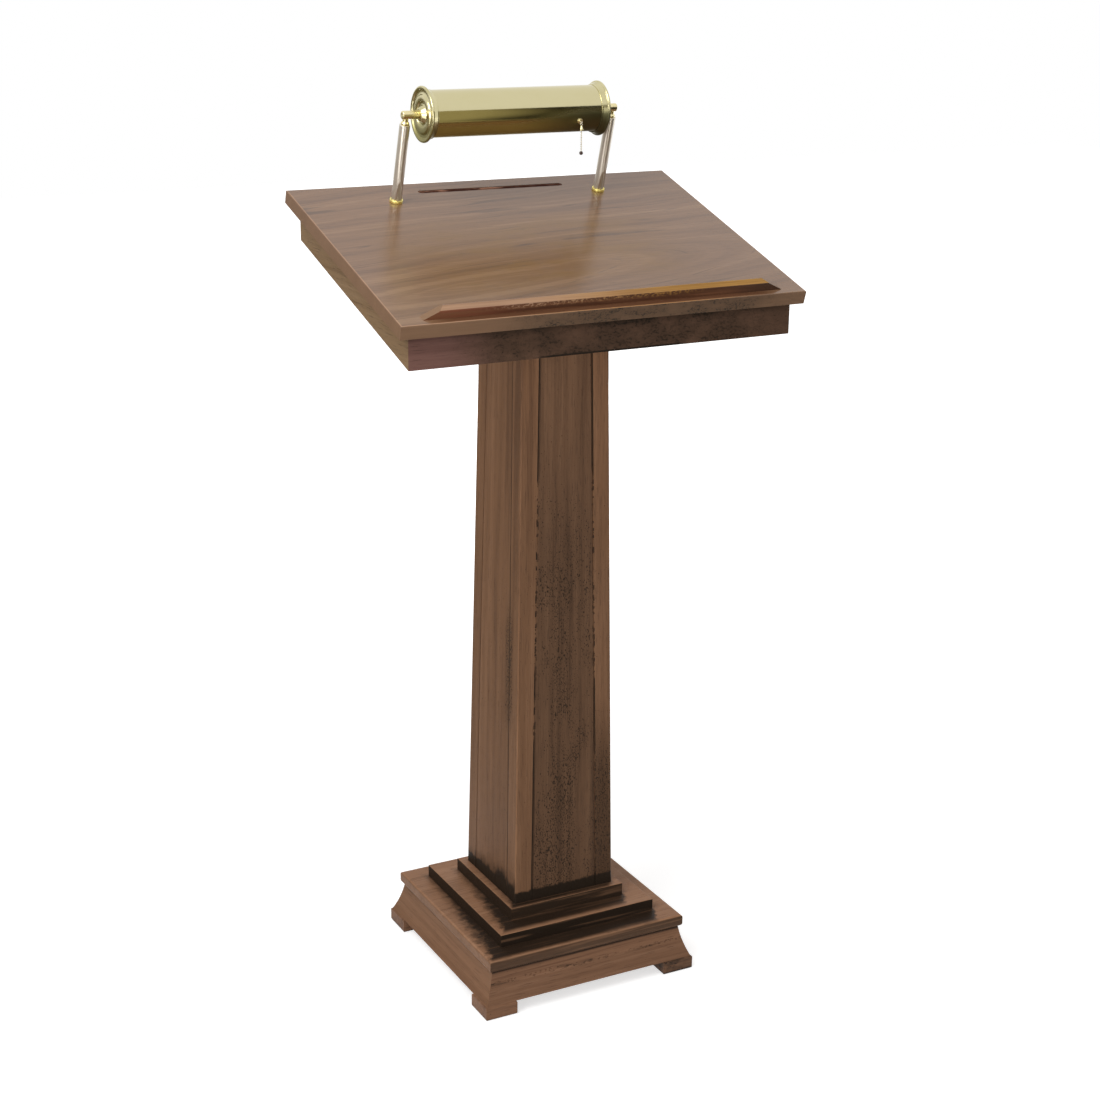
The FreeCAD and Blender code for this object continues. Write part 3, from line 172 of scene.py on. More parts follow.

# The cards give off a dim olive light, strongest from x 0.8 to 0.93 and gone beyond x 1.12: a painted
# reflection for the brass to mirror.
reflection_card_paint = bpy.data.materials.new("reflection_card_paint")
paint = blank_tree(reflection_card_paint)
beside = parts_of(paint.node("TexCoord", {}, {}, "Object"))[0]
reflection_glow_rise = paint.node("MapRange", {}, {"Value": beside, "From Min": 0.2, "From Max": 0.8,
                                   "To Min": 0.17, "To Max": 0.4})
reflection_glow_fade = paint.node("MapRange", {}, {"Value": beside, "From Min": 0.93, "From Max": 1.12,
                                   "To Min": 1.0, "To Max": 0.0})
painted_reflection_glow = paint.node("Emission", {}, {"Color": (1.0, 0.87, 0.46, 1.0), "Strength": reflection_glow_rise * reflection_glow_fade + 0.01})
paint.node("OutputMaterial", {}, {"Surface": painted_reflection_glow})
# The cards stand at front and left, and the cloths lie from them to near the lectern, just off the floor.
front = -1.95
left = -2.0
near = -0.3
lift = 0.001
cards = {
    "card_before": [(-1.3, front, 0.0), (3.4, front, 0.0), (3.4, front, 1.9), (-1.3, front, 1.9)],
    "cloth_before": [(-1.3, front, lift), (3.4, front, lift), (3.4, near, lift), (-1.3, near, lift)],
    "card_left": [(left, -0.8, 0.0), (left, 7.0, 0.0), (left, 7.0, 0.95), (left, -0.8, 0.95)],
    "cloth_left": [(left, near, lift), (near, near, lift), (near, 7.0, lift), (left, 7.0, lift)],
}
for name, outline in cards.items():
    card = stage_sheet(name, outline, reflection_card_paint)
    card.visible_camera = False
    card.visible_diffuse = False
    card.visible_transmission = False
    card.visible_shadow = False


def soft_light(name, place, size, power, mirrored=True):
    """A square soft light that faces the middle of the lectern. Gloss shows it only if mirrored."""
    lamp = bpy.data.lights.new(name, "AREA")
    lamp.size = size
    lamp.energy = power
    made = bpy.data.objects.new(name, lamp)
    lectern_middle = Vector((0.0, 0.0, 0.75))
    aim = (lectern_middle - Vector(place)).to_track_quat("-Z", "Y")
    made.matrix_world = Matrix.LocRotScale(Vector(place), aim, None)
    made.visible_glossy = mirrored
    scene.collection.objects.link(made)


soft_light("high_left", (-2.7, -1.3, 3.7), 2.2, 82.0)
soft_light("low_left", (-3.6, -2.4, 1.2), 1.8, 36.0)
soft_light("before", (-0.6, -4.2, 0.8), 0.8, 34.0)
soft_light("behind", (2.4, 3.2, 0.9), 1.6, 40.0, mirrored=False)


# The feet: four square pads of walnut with eased edges, each screwed up into a glue block. The dark
# glaze has been wiped off their faces and stays in the pores; the right-hand pads are darker, and
# painted shade lies along the lower edges.
def spread(value, low, high):
    """0 below low, 1 above high, with a smooth step between."""
    return value.node("MapRange", {"interpolation_type": "SMOOTHSTEP"},
                      {"Value": value, "From Min": low, "From Max": high})


def mixed(mask, under, over):
    """The colour under, covered by the colour over where the mask is 1."""
    return mask.node("Mix", {"data_type": "RGBA"}, {0: mask, 6: under, 7: over}, 2)


def drawn_out(place, along, shift, across, lengthways, detail=3.0):
    """A noise whose spots are about 1 / across wide and 1 / lengthways long along one axis."""
    scale = [across, across, across]
    scale[along] = lengthways
    moved = place.node("Mapping", {}, {"Vector": place, "Location": shift, "Scale": scale})
    return moved.node("TexNoise", {}, {"Vector": moved, "Scale": 1.0, "Detail": detail, "Roughness": 0.6})


def opaque(red, green, blue):
    """A colour with full cover."""
    return (red, green, blue, 1.0)


def new_finish(name):
    """A new material, with its shader and the place of each point of the surface."""
    material = bpy.data.materials.new(name)
    material.use_nodes = True
    start = Tone(material.node_tree)
    return material, material.node_tree.nodes["Principled BSDF"], start.node("TexCoord", {}, {}, "Object")


def lay_on(shader, socket, tone):
    """Feed one socket of a shader."""
    tone.tree.links.new(tone.socket, shader.inputs[socket])


def raised(tone, depth):
    """A bumped normal, whose hills are as high as depth where the tone is 1."""
    return tone.node("Bump", {}, {"Strength": 1.0, "Distance": depth, "Height": tone})


def specks(place, along, shift, width, cover):
    """Small dark spots and dashes of glaze, more of them where cover is 1."""
    spots = drawn_out(place, along, shift, 1.0 / width, 0.55 / width, 3.0)
    limit = 0.7 - 0.16 * cover
    return spread(spots - limit, 0.0, 0.04)


def worms(place, shift, size, cover):
    """Short crooked lines of dark glaze: the level lines of a noise, wider where cover is 1."""
    field = drawn_out(place, 0, shift, 1.0 / size, 1.0 / size, 2.0)
    patches = drawn_out(place, 0, (shift[1], shift[2], shift[0]), 0.55 / size, 0.5 / size, 1.0)
    return cover * spread(patches, 0.4, 0.55) * (1.0 - spread(abs(field - 0.5), 0.012, 0.05))


def walnut(name, along, shift, shades, gloss, glaze_and_shade=None, wash=None):
    """Walnut with its fibres along one axis: bands, streaks, fibres and pores are noises drawn out
    along that axis. The three shades run from deep to pale; a second mask gives where dark glaze or
    painted shade covers the wood, and wash where a thin brown glaze lies under it."""
    material, shader, place = new_finish(name)
    bands = drawn_out(place, along, shift, 16.0, 0.8)
    streaks = drawn_out(place, along, shift, 95.0, 1.6)
    fibres = drawn_out(place, along, shift, 420.0, 7.0)
    pores = drawn_out(place, along, shift, 900.0, 32.0, 1.0)
    figure = 0.42 * bands + 0.36 * streaks + 0.22 * fibres
    colour = mixed(spread(figure, 0.4, 0.5), opaque(*shades[0]), opaque(*shades[1]))
    colour = mixed(spread(figure, 0.5, 0.61), colour, opaque(*shades[2]))
    open_pores = spread(pores, 0.6, 0.72)
    colour = mixed(0.4 * open_pores, colour, opaque(0.035, 0.02, 0.013))
    if wash:
        colour = mixed(wash(place), colour, opaque(0.088, 0.048, 0.026))
    if glaze_and_shade:
        # The same dark colour serves for the glaze and for painted shade.
        colour = mixed(glaze_and_shade(place), colour, opaque(0.017, 0.0105, 0.0065))
    lay_on(shader, "Base Color", colour)
    lay_on(shader, "Roughness", gloss + 0.16 * (fibres - 0.5) + 0.12 * open_pores)
    lay_on(shader, "Normal", raised(fibres - 0.6 * open_pores, 0.00022))
    shader.inputs["Specular IOR Level"].default_value = 0.12
    return material


def dress(material, *names):
    """Give CAD nodes their finish."""
    for name in names:
        nodes[name].material_slots[0].material = material


corners = ["front_left", "front_right", "back_left", "back_right"]
quarters = ["front", "right", "back", "left"]
stand_shades = [(0.125, 0.062, 0.035), (0.185, 0.0935, 0.052), (0.235, 0.123, 0.071)]


def foot_glaze_and_shade(place):
    """Mottled glaze spots and a darker tone on the right-hand pads, and painted shade along the lower edges.
    """
    x, _, height = parts_of(place)
    right_hand = spread(x, 0.0, 0.1)
    cloud = drawn_out(place, 0, (2.0, 7.0, 1.0), 45.0, 30.0)
    # Painted shade along the lower edges, where the pads meet the floor.
    low = 1.0 - spread(height + 0.006 * cloud, 0.002, 0.008)
    cover = (0.2 + 0.8 * right_hand) * spread(cloud, 0.35, 0.6)
    return (0.8 * specks(place, 0, (1.0, 3.0, 2.0), 0.0035, cover) + (0.36 + 0.45 * cover) * right_hand
            + 0.6 * low).least(1.0)


dress(walnut("foot_walnut", 0, (3.1, 0.4, 8.2), stand_shades, 0.5, foot_glaze_and_shade),
      *["foot_" + corner for corner in corners])

# The glue blocks, the blocks in the column and the plate under the board are plain sawn softwood,
# which shows only from below.
sawn = [(0.33, 0.215, 0.12), (0.44, 0.3, 0.18), (0.52, 0.37, 0.235)]
sawn_wood = walnut("sawn_wood", 2, (5.0, 2.0, 9.0), sawn, 0.65)
dress(sawn_wood, *["base_block_" + corner for corner in corners], "column_foot_block", "column_head_block")
dress(walnut("plate_wood", 0, (1.0, 6.0, 4.0), sawn, 0.65), "mounting_plate")

# The base rails: four walnut boards with a hollow, flaring face, mitred at the corners. A painted
# shadow lies under the slab's overhang, a broken dark streak runs along the grain, and they darken a
# little towards the bottom.
rail_top = 0.0675
streak_drop = 0.0185


def rail_streak_and_shadow(along):
    """Painted shadow under the slab, a broken streak about a third of the way down, and a slight darkening
    lower down.
    """
    def glaze_and_shade(place):
        height = parts_of(place)[2]
        ragged = drawn_out(place, along, (4.0, 1.0, 6.0), 160.0, 14.0)
        # Painted shadow under the slab's overhang.
        under = spread(height + 0.0025 * ragged, rail_top - 0.0032, rail_top - 0.0005)
        wander = drawn_out(place, along, (8.0, 2.0, 3.0), 6.0, 6.0)
        streak = 1.0 - spread(abs(height - rail_top + streak_drop + 0.006 * (wander - 0.5)), 0.0008, 0.0055)
        broken = spread(ragged, 0.42, 0.62)
        lower = 1.0 - spread(height, rail_top - 0.026, rail_top - 0.016)
        return (0.9 * under + 0.45 * streak * broken + 0.16 * lower
                + 0.4 * specks(place, along, (2.0, 2.0, 7.0), 0.003, streak)).least(1.0)
    return glaze_and_shade


dress(walnut("rail_walnut_across", 0, (0.3, 5.2, 1.1), stand_shades, 0.5, rail_streak_and_shadow(0)),
      "base_rail_front", "base_rail_back")
side_shades = [(0.17, 0.083, 0.042), (0.21, 0.106, 0.056), (0.248, 0.129, 0.069)]
dress(walnut("rail_walnut_deep", 1, (7.3, 0.2, 4.1), side_shades, 0.5), "base_rail_left", "base_rail_right")

# The stepped plinth: a slab with a rounded edge and two square steps on it, all walnut boards.
# The steps' risers are painted almost black as shade, and painted shadow spreads over each tread
# from the foot of the step above.
def tread_and_riser_shade(next_half, front_reach, left_reach, front_riser, side_riser):
    """Risers painted dark as shade, and painted shadow on the tread round the foot of the next piece: right
    across the front, soft and ragged on the left, where it dies away to the back, and nearly none elsewhere."""
    def glaze_and_shade(place):
        x, y, _ = parts_of(place)
        _, facing_y, facing_z = parts_of(place.out("Normal"))
        upward_face = spread(facing_z, 0.35, 0.8)
        front_face = spread(0.0 - facing_y, 0.5, 0.8)
        ahead = 0.0 - y
        in_front = spread(ahead - abs(x), -0.03, 0.004)
        on_left = spread(0.0 - x - abs(ahead), -0.03, 0.0)
        ragged = drawn_out(place, 0, (3.0, 9.0, 1.0), 90.0, 75.0, 6.0)
        strokes = drawn_out(place, 0, (8.0, 5.0, 2.0), 330.0, 200.0, 3.0)
        grain = drawn_out(place, 0, (6.0, 3.0, 5.0), 150.0, 6.0)
        out_from = abs(x).most(abs(ahead)) - next_half
        right_end = 1.0 - spread(x + 0.02 * ragged, next_half - 0.002, next_half + 0.02)
        along_left = 0.3 + 0.7 * spread(ahead, -next_half, next_half)
        left_extent = on_left * left_reach * along_left * (0.3 + 1.4 * ragged)
        front_extent = in_front * right_end * front_reach
        frayed = 0.004 * (ragged - 0.5) + 0.009 * (strokes - 0.5) * (1.0 - in_front)
        beyond = out_from - front_extent.most(left_extent) - frayed
        # Painted shadow on the tread round the foot of the next piece.
        painted_tread_shadow = 1.0 - spread(beyond * (0.55 + 0.45 * in_front), -0.01, 0.003)
        wiped = spread(grain, 0.5, 0.68)
        front_side = front_riser * (1.0 - 0.28 * wiped)
        sides = side_riser + front_face * (front_side - side_riser)
        return (upward_face * painted_tread_shadow * (0.97 - 0.15 * wiped) + (1.0 - upward_face) * sides).least(1.0)
    return glaze_and_shade


slab_shades = [(0.228, 0.117, 0.062), (0.285, 0.147, 0.08), (0.325, 0.174, 0.098)]
middle_half = 0.128
upper_half = 0.094
foot_half = 0.082
slab_painted_shade = tread_and_riser_shade(middle_half, 0.033, 0.028, 0.8, 0.28)
middle_painted_shade = tread_and_riser_shade(upper_half, 0.03, 0.025, 1.0, 0.98)
upper_painted_shade = tread_and_riser_shade(foot_half, 0.0145, 0.008, 0.97, 0.97)
dress(walnut("slab_walnut", 0, (2.2, 8.1, 0.5), slab_shades, 0.47, slab_painted_shade), "base_slab")
dress(walnut("middle_walnut", 0, (9.2, 1.7, 3.5), slab_shades, 0.47, middle_painted_shade), "middle_step")
dress(walnut("upper_walnut", 0, (4.6, 3.3, 7.5), slab_shades, 0.47, upper_painted_shade), "upper_step")

# The column: four tapered corner posts with a tapered panel between each two, glued up as a box.
# Glaze lies in the joints and speckles the panels; painted shadow darkens the foot all round, and
# painted shade the foot of each side face and the lower half.
column_foot = 0.1245
taper = 0.0165
post_width = 0.028
smear_height = 0.36


def column_glaze_and_shade(place):
    """Broken lines along the joints and speckles on the panels, with painted shadow round the foot and
    painted shade on the foot of each side face and over the lower half.
    """
    x, y, z = parts_of(place)
    width, depth, height = abs(x), abs(y), z - column_foot
    half = foot_half - taper * height
    facing_x, facing_y, _ = parts_of(place.out("Normal"))
    on_front = spread(abs(facing_y), 0.6, 0.9)
    on_side = spread(abs(facing_x), 0.6, 0.9)
    stretches = drawn_out(place, 2, (1.0, 4.0, 2.0), 26.0, 6.0, 2.0)
    dots = drawn_out(place, 2, (6.0, 2.0, 9.0), 160.0, 120.0, 2.0)
    upper = spread(height, 0.62, 0.72)
    left_foot = spread(0.0 - x, 0.0, 0.02) * (1.0 - spread(height, 0.2, 0.32))
    filled = (spread(stretches, 0.47, 0.56) + upper + left_foot).least(1.0).most(spread(dots, 0.48, 0.57))
    line = 0.0004 + 0.0011 * filled
    joint_front = filled * (1.0 - spread(abs(width - half + post_width) - line, 0.0, 0.0005)) * on_front
    before = spread(0.0 - y, -0.01, 0.01)
    from_side_joint = abs(depth - half + post_width)
    joint_side = (0.25 + 0.6 * before) * (1.0 - spread(from_side_joint, 0.0008, 0.002)) * on_side
    smeared = before * on_side * (1.0 - spread(from_side_joint, 0.006, 0.018))
    smeared = smeared * (1.0 - spread(abs(height - smear_height), 0.05, 0.13))
    ragged = drawn_out(place, 2, (5.0, 2.0, 8.0), 150.0, 90.0, 6.0)
    drift = drawn_out(place, 2, (2.0, 8.0, 5.0), 30.0, 30.0, 2.0)
    # Painted shadow round the foot.
    foot_shadow_band = 1.0 - spread(height - 0.01 * ragged, 0.0085, 0.0145)
    nearer = spread(0.0 - y, -0.08, 0.08)
    # Painted shade low on each side face.
    lower_side_shade = 0.92 * on_side * spread(0.5 * drift + 0.3 * ragged + 0.2 * nearer - 11.0 * height, 0.02, 0.42)
    # Painted shade over the lower half, front and sides.
    lower_half_shade = (0.33 * on_front + 0.26 * on_side) * (1.0 - spread(height, 0.5, 0.84))
    clusters = drawn_out(place, 2, (7.0, 3.0, 1.0), 20.0, 6.0)
    on_panel = spread(half - post_width - width, -0.002, 0.006) * on_front
    by_right_joint = spread(x - half + post_width, -0.012, 0.002)
    right_foot = by_right_joint * (1.0 - spread(height, 0.16, 0.34)) * on_front
    lower = 1.0 - 0.8 * spread(height, 0.4, 0.75)
    cover = spread(clusters, 0.3, 0.58) * (0.3 + 0.7 * on_panel) * lower
    cover = cover.most(0.85 * right_foot).most(smeared)
    spots = specks(place, 2, (2.0, 6.0, 3.0), 0.0017, cover)
    return (0.97 * joint_front.most(joint_side) + 0.95 * foot_shadow_band + lower_side_shade + 0.75 * spots + 0.1 * cover + lower_half_shade
            + 0.3 * right_foot + 0.12 * smeared).least(1.0)


column_shades = [(0.155, 0.0765, 0.04), (0.22, 0.11, 0.0565), (0.272, 0.14, 0.0745)]
for number, corner in enumerate(corners):
    shift = (2.0 + 3.7 * number, 1.3 * number, 0.8)
    finish = walnut("post_walnut_" + corner, 2, shift, column_shades, 0.5, column_glaze_and_shade)
    dress(finish, "column_post_" + corner)
panel_shades = [(0.11, 0.0565, 0.031), (0.158, 0.082, 0.0445), (0.204, 0.108, 0.059)]
for number, quarter in enumerate(quarters):
    shades = panel_shades if quarter in ("front", "back") else column_shades
    shift = (1.0 + 2.3 * number, 5.1 * number, 4.4)
    finish = walnut("panel_walnut_" + quarter, 2, shift, shades, 0.5, column_glaze_and_shade)
    dress(finish, "column_panel_" + quarter)

# The fasteners: zinc-plated bolts and washers up into the column, wood screws for the feet, plate,
# board and ledge, and the threaded tubes, washers and nuts that clamp the lamp.
zinc, shader, place = new_finish("zinc")
clouding = drawn_out(place, 0, (1.0, 1.0, 1.0), 260.0, 260.0)
lay_on(shader, "Base Color", mixed(clouding, opaque(0.42, 0.42, 0.41), opaque(0.62, 0.61, 0.57)))
lay_on(shader, "Roughness", 0.26 + 0.2 * clouding)
shader.inputs["Metallic"].default_value = 1.0
dress(zinc, "foot_screws", "column_bolts", "column_washers", "plate_screws", "desk_screws", "ledge_screws",
      "post_nipples", "post_washers", "post_nuts")

# The desk board: one wide walnut board with cathedral figure, a satin varnish that takes soft
# reflections, to which a painted reflection of the shade and a painted sheen are added, and a pen groove
# cut near the back, painted red-brown with pale patches on its left part that paint light into its shade.
slope = math.radians(17.2)
board_half = 0.305
board_depth = 0.416
board_thickness = 0.019
groove_v = 0.386
desk_front = 1.0315
desk_reach = (board_depth * math.cos(slope) + board_thickness * math.sin(slope)) / 2


def on_desk(place):
    """The place in the desk's own frame: x, then v up the slope from the front edge, then w out."""
    moved = place.node("Mapping", {"vector_type": "POINT"},
                       {"Vector": place, "Location": (0.0, desk_reach, -desk_front)})
    return moved.node("Mapping", {"vector_type": "POINT"}, {"Vector": moved, "Rotation": (-slope, 0.0, 0.0)})


def figured_board():
    """Growth rings cut by the board's face: a noise read along the radius of long, slightly wavy
    ovals draws soft bands that close in arches at the right, with a few thin dark lines along them,
    fibres and pores. A golden patch before the middle is a painted reflection of the brass shade, and
    a pale painted sheen lies over the rest of the top."""
    material, shader, place = new_finish("desk_walnut")
    desk = on_desk(place)
    x, v, w = parts_of(desk)
    wave = drawn_out(desk, 0, (0.7, 3.1, 0.0), 4.0, 2.0, 2.0)
    sway = drawn_out(desk, 0, (5.7, 8.1, 0.0), 14.0, 4.0, 2.0)
    aside = v - 0.11 - 0.13 * x + 0.06 * (wave - 0.5) + 0.007 * (sway - 0.5)
    ahead = 0.12 * (x + 0.16) + 0.03 * (wave - 0.5)
    radius = x.maths("SQRT", aside * aside + ahead * ahead, 0.0)
    ring_place = x.node("CombineXYZ", {}, {0: 55.0 * radius, 1: 1.3 * x, 2: 20.0 * w})
    rings = x.node("TexNoise", {}, {"Vector": ring_place, "Scale": 1.0, "Detail": 4.0, "Roughness": 0.55})
    line_place = x.node("CombineXYZ", {}, {0: 34.0 * radius, 1: 1.6 * x, 2: 4.0})
    lines = x.node("TexNoise", {}, {"Vector": line_place, "Scale": 1.0, "Detail": 1.0})
    fibres = drawn_out(desk, 0, (1.0, 2.0, 3.0), 420.0, 8.0)
    pores = drawn_out(desk, 0, (3.0, 1.0, 2.0), 800.0, 40.0, 1.0)
    tone = 0.74 * rings + 0.26 * fibres
    colour = mixed(spread(tone, 0.36, 0.5), opaque(0.148, 0.072, 0.033), opaque(0.212, 0.107, 0.048))
    colour = mixed(spread(tone, 0.5, 0.64), colour, opaque(0.285, 0.157, 0.077))
    patches = drawn_out(desk, 0, (3.0, 7.0, 0.0), 22.0, 9.0, 2.0)
    # Painted reflection of the brass shade in the varnish: a patchy golden tone before the middle.
    lamp_reflection_area = (1.0 - spread(abs(v - 0.18), 0.05, 0.15)) * (1.0 - spread(abs(x + 0.02), 0.12, 0.27))
    golden = lamp_reflection_area * (0.25 + 0.4 * spread(patches, 0.45, 0.65))
    colour = mixed(golden, colour, opaque(0.225, 0.112, 0.025))
    # Painted sheen: a pale grey tone over the top away from that reflection.
    colour = mixed(0.13 * (1.0 - lamp_reflection_area), colour, opaque(0.33, 0.23, 0.185))
    dashes = spread(drawn_out(desk, 0, (9.0, 4.0, 1.0), 22.0, 9.0, 2.0), 0.46, 0.62)
    thin = 1.0 - spread(abs(lines - 0.5), 0.002, 0.011)
    colour = mixed(0.5 * thin * dashes, colour, opaque(0.05, 0.028, 0.022))
    open_pores = spread(pores, 0.6, 0.72)
    colour = mixed(0.3 * open_pores, colour, opaque(0.05, 0.03, 0.02))
    _, facing_y, facing_z = parts_of(place.out("Normal"))
    front_face = spread(0.0 - facing_y, 0.6, 0.9)
    upper_face = spread(facing_z, 0.6, 0.9)
    plain = mixed(fibres, opaque(0.145, 0.075, 0.038), opaque(0.195, 0.104, 0.054))
    colour = mixed(0.85 * (1.0 - upper_face), colour, plain)
    stained = spread(x, -0.21, -0.07) * (1.0 - 0.6 * spread(x, 0.18, 0.29))
    cloud = drawn_out(desk, 0, (4.0, 3.0, 2.0), 70.0, 18.0)
    front_cover = front_face * stained * spread(cloud, 0.3, 0.6)
    front_stain = 0.3 * worms(desk, (8.0, 1.0, 3.0), 0.006, front_cover)
    front_stain = front_stain + 0.35 * specks(desk, 0, (3.0, 4.0, 7.0), 0.003, front_cover)
    colour = mixed((0.38 * front_face * stained + front_stain + 0.18 * front_cover).least(1.0),
                   colour, opaque(0.02, 0.012, 0.0075))
    ledge_foot = spread(v, 0.0022, 0.0042) * (1.0 - spread(v, 0.0116, 0.0122))
    ledge_foot = ledge_foot * (1.0 - spread(abs(x), 0.225, 0.268))
    colour = mixed(0.68 * ledge_foot * upper_face, colour, opaque(0.1, 0.034, 0.015))
    # Worn wood and painted highlight: a pale front arris, fading out to the right, and paler ends.
    front_arris_wear_and_highlight = (1.0 - spread(v, 0.0012, 0.0024)) * (1.0 - spread(x, 0.12, 0.25))
    end_arris_wear_and_highlight = 1.0 - spread(board_half - abs(x), 0.0012, 0.0024)
    worn = mixed(spread(x, -0.2, 0.0), opaque(0.6, 0.35, 0.2), opaque(0.58, 0.27, 0.075))
    colour = mixed((0.85 * front_arris_wear_and_highlight).most(0.4 * end_arris_wear_and_highlight) * upper_face, colour, worn)
    in_groove = (1.0 - spread(abs(v - groove_v), 0.0047, 0.0053)) * (1.0 - spread(abs(x), 0.1163, 0.117))
    in_groove = in_groove * (1.0 - spread(w, -0.0012, -0.0005))
    # Pale patches over the groove's left part paint light into its shade.
    wiped = spread(drawn_out(desk, 0, (2.0, 6.0, 1.0), 60.0, 22.0), 0.38, 0.52)
    wiped = wiped * (1.0 - 0.8 * spread(x, 0.0, 0.03))
    red = mixed(wiped, opaque(0.13, 0.048, 0.033), opaque(0.62, 0.34, 0.23))
    colour = mixed(0.95 * in_groove, colour, red)
    lay_on(shader, "Base Color", colour)
    lay_on(shader, "Roughness", 0.52 - upper_face * (0.32 - 0.08 * fibres))
    lay_on(shader, "Normal", raised(fibres - 0.5 * open_pores, 0.00005))
    shader.inputs["Specular IOR Level"].default_value = 0.45
    return material


dress(figured_board(), "desk_board")

# The apron: four walnut boards mitred round the underside of the board. The front and back ones are
# dark with a mottled glaze, thinner towards the left, with a painted shadow under the board and
# another above the column, and the ends are clean.
def apron_wash(place):
    """A brown wash over the long faces, from about a tenth of the way along."""
    x = parts_of(place)[0]
    facing_y = parts_of(place.out("Normal"))[1]
    return 0.8 * spread(abs(facing_y), 0.6, 0.9) * spread(x, -0.25, -0.14)


def apron_glaze_and_shadow(place):
    """Mottled glaze over the long faces, fading out to the left, a painted shadow line under the board,
    and a painted shadow along the lower edge above the column.
    """
    x = parts_of(place)[0]
    facing_y = parts_of(place.out("Normal"))[1]
    long_face = spread(abs(facing_y), 0.6, 0.9)
    glazed = long_face * spread(x, -0.27, -0.13) * (1.0 - 0.45 * spread(x, 0.2, 0.29))
    cloud = drawn_out(place, 0, (3.0, 5.0, 8.0), 34.0, 20.0, 5.0)
    cover = glazed * spread(cloud, 0.3, 0.62)
    lines = worms(place, (6.0, 2.0, 4.0), 0.0075, glazed)
    grains = specks(place, 0, (4.0, 8.0, 6.0), 0.0028, cover)
    below = parts_of(on_desk(place))[2]
    # Painted shadow under the board.
    shadow_line = 0.3 * spread(below + 0.008 * cloud, -0.03, -0.019) + 0.7 * spread(below, -0.0225, -0.0205)
    middle = 1.0 - spread(abs(x - 0.005), 0.085, 0.12)
    # Painted shadow along the lower edge above the column.
    column_contact_shadow = (1.0 - spread(below, -0.0612, -0.06)) * middle * long_face
    mottled = glazed * (0.1 + shadow_line) + 0.42 * cover + 0.22 * lines + 0.3 * grains
    return (mottled + 0.8 * column_contact_shadow).least(1.0)


apron_shades = [(0.096, 0.045, 0.036), (0.125, 0.06, 0.048), (0.152, 0.075, 0.06)]
dress(walnut("apron_walnut_long", 0, (2.4, 1.9, 6.1), apron_shades, 0.5, apron_glaze_and_shadow, apron_wash),
      "apron_front", "apron_back")
end_shades = [(0.165, 0.1, 0.051), (0.21, 0.132, 0.07), (0.245, 0.157, 0.087)]
dress(walnut("apron_walnut_end", 1, (3.8, 6.6, 1.2), end_shades, 0.5), "apron_left", "apron_right")

# The book ledge: a planed strip with raked ends, screwed from under the board. Its top is painted
# light, tan to golden, as a highlight, its front dark red-brown as shade, near black at the right end,
# and its ends are the board's brown.
def ledge_finish():
    """Painted highlight on top, tan to golden from left to right; painted shade on the front, dark red-brown
    to near black at the right; board brown on the ends.
    """
    material, shader, place = new_finish("ledge_walnut")
    facing_x, _, facing_z = parts_of(place.out("Normal"))
    x = parts_of(place)[0]
    streaks = drawn_out(place, 0, (1.0, 5.0, 3.0), 160.0, 5.0)
    fibres = drawn_out(place, 0, (2.0, 2.0, 1.0), 500.0, 12.0)
    grains = drawn_out(place, 0, (4.0, 4.0, 2.0), 420.0, 260.0)
    rightward_part = spread(x, -0.15, 0.12)
    # The top's tan to golden is a painted highlight.
    pale = mixed(rightward_part, opaque(0.41, 0.243, 0.148), opaque(0.42, 0.218, 0.05))
    deep = mixed(rightward_part, opaque(0.31, 0.178, 0.107), opaque(0.28, 0.135, 0.028))
    top = mixed(spread(0.6 * streaks + 0.4 * fibres, 0.38, 0.62), deep, pale)
    # The front's dark red-brown is painted shade; over the right end a near black painted shadow covers it.
    red = mixed(spread(x, -0.26, -0.1), opaque(0.17, 0.05, 0.025), opaque(0.07, 0.027, 0.013))
    front = mixed(spread(streaks, 0.42, 0.66), red, opaque(0.15, 0.062, 0.029))
    front = mixed(0.75 * spread(x, 0.13, 0.25), front, opaque(0.035, 0.019, 0.013))
    above_board = parts_of(on_desk(place))[2]
    below_top = spread(above_board, 0.004, 0.0095)
    middle = spread(x, -0.2, -0.12) * (1.0 - spread(x, 0.08, 0.16))
    rubbed = 0.75 * spread(grains, 0.48, 0.6) * below_top * middle
    upward_face = spread(facing_z, 0.55, 0.8)
    colour = mixed((upward_face + rubbed * (1.0 - upward_face)).least(1.0), front, top)
    sloping_end = spread(abs(facing_x), 0.2, 0.3)
    colour = mixed(sloping_end, colour, mixed(fibres, opaque(0.2, 0.115, 0.062), opaque(0.28, 0.165, 0.093)))
    lay_on(shader, "Base Color", colour)
    lay_on(shader, "Roughness", 0.36 + 0.12 * fibres)
    lay_on(shader, "Normal", raised(fibres, 0.00015))
    shader.inputs["Specular IOR Level"].default_value = 0.2
    return material


dress(ledge_finish(), "book_ledge")

# The lamp posts: two brass tubes with a pale plate, polished round and round, so that their shine is
# drawn out lengthways. They are square to the board, and each stands on it in a golden ring.
post_x = 0.1623
lamp_v = 0.3577
lamp_height = 0.129
up_desk = np.array([0.0, math.cos(slope), math.sin(slope)])
out_of_desk = np.array([0.0, -math.sin(slope), math.cos(slope)])
lamp_middle = np.array([0.0, -desk_reach, desk_front]) + lamp_v * up_desk + lamp_height * out_of_desk


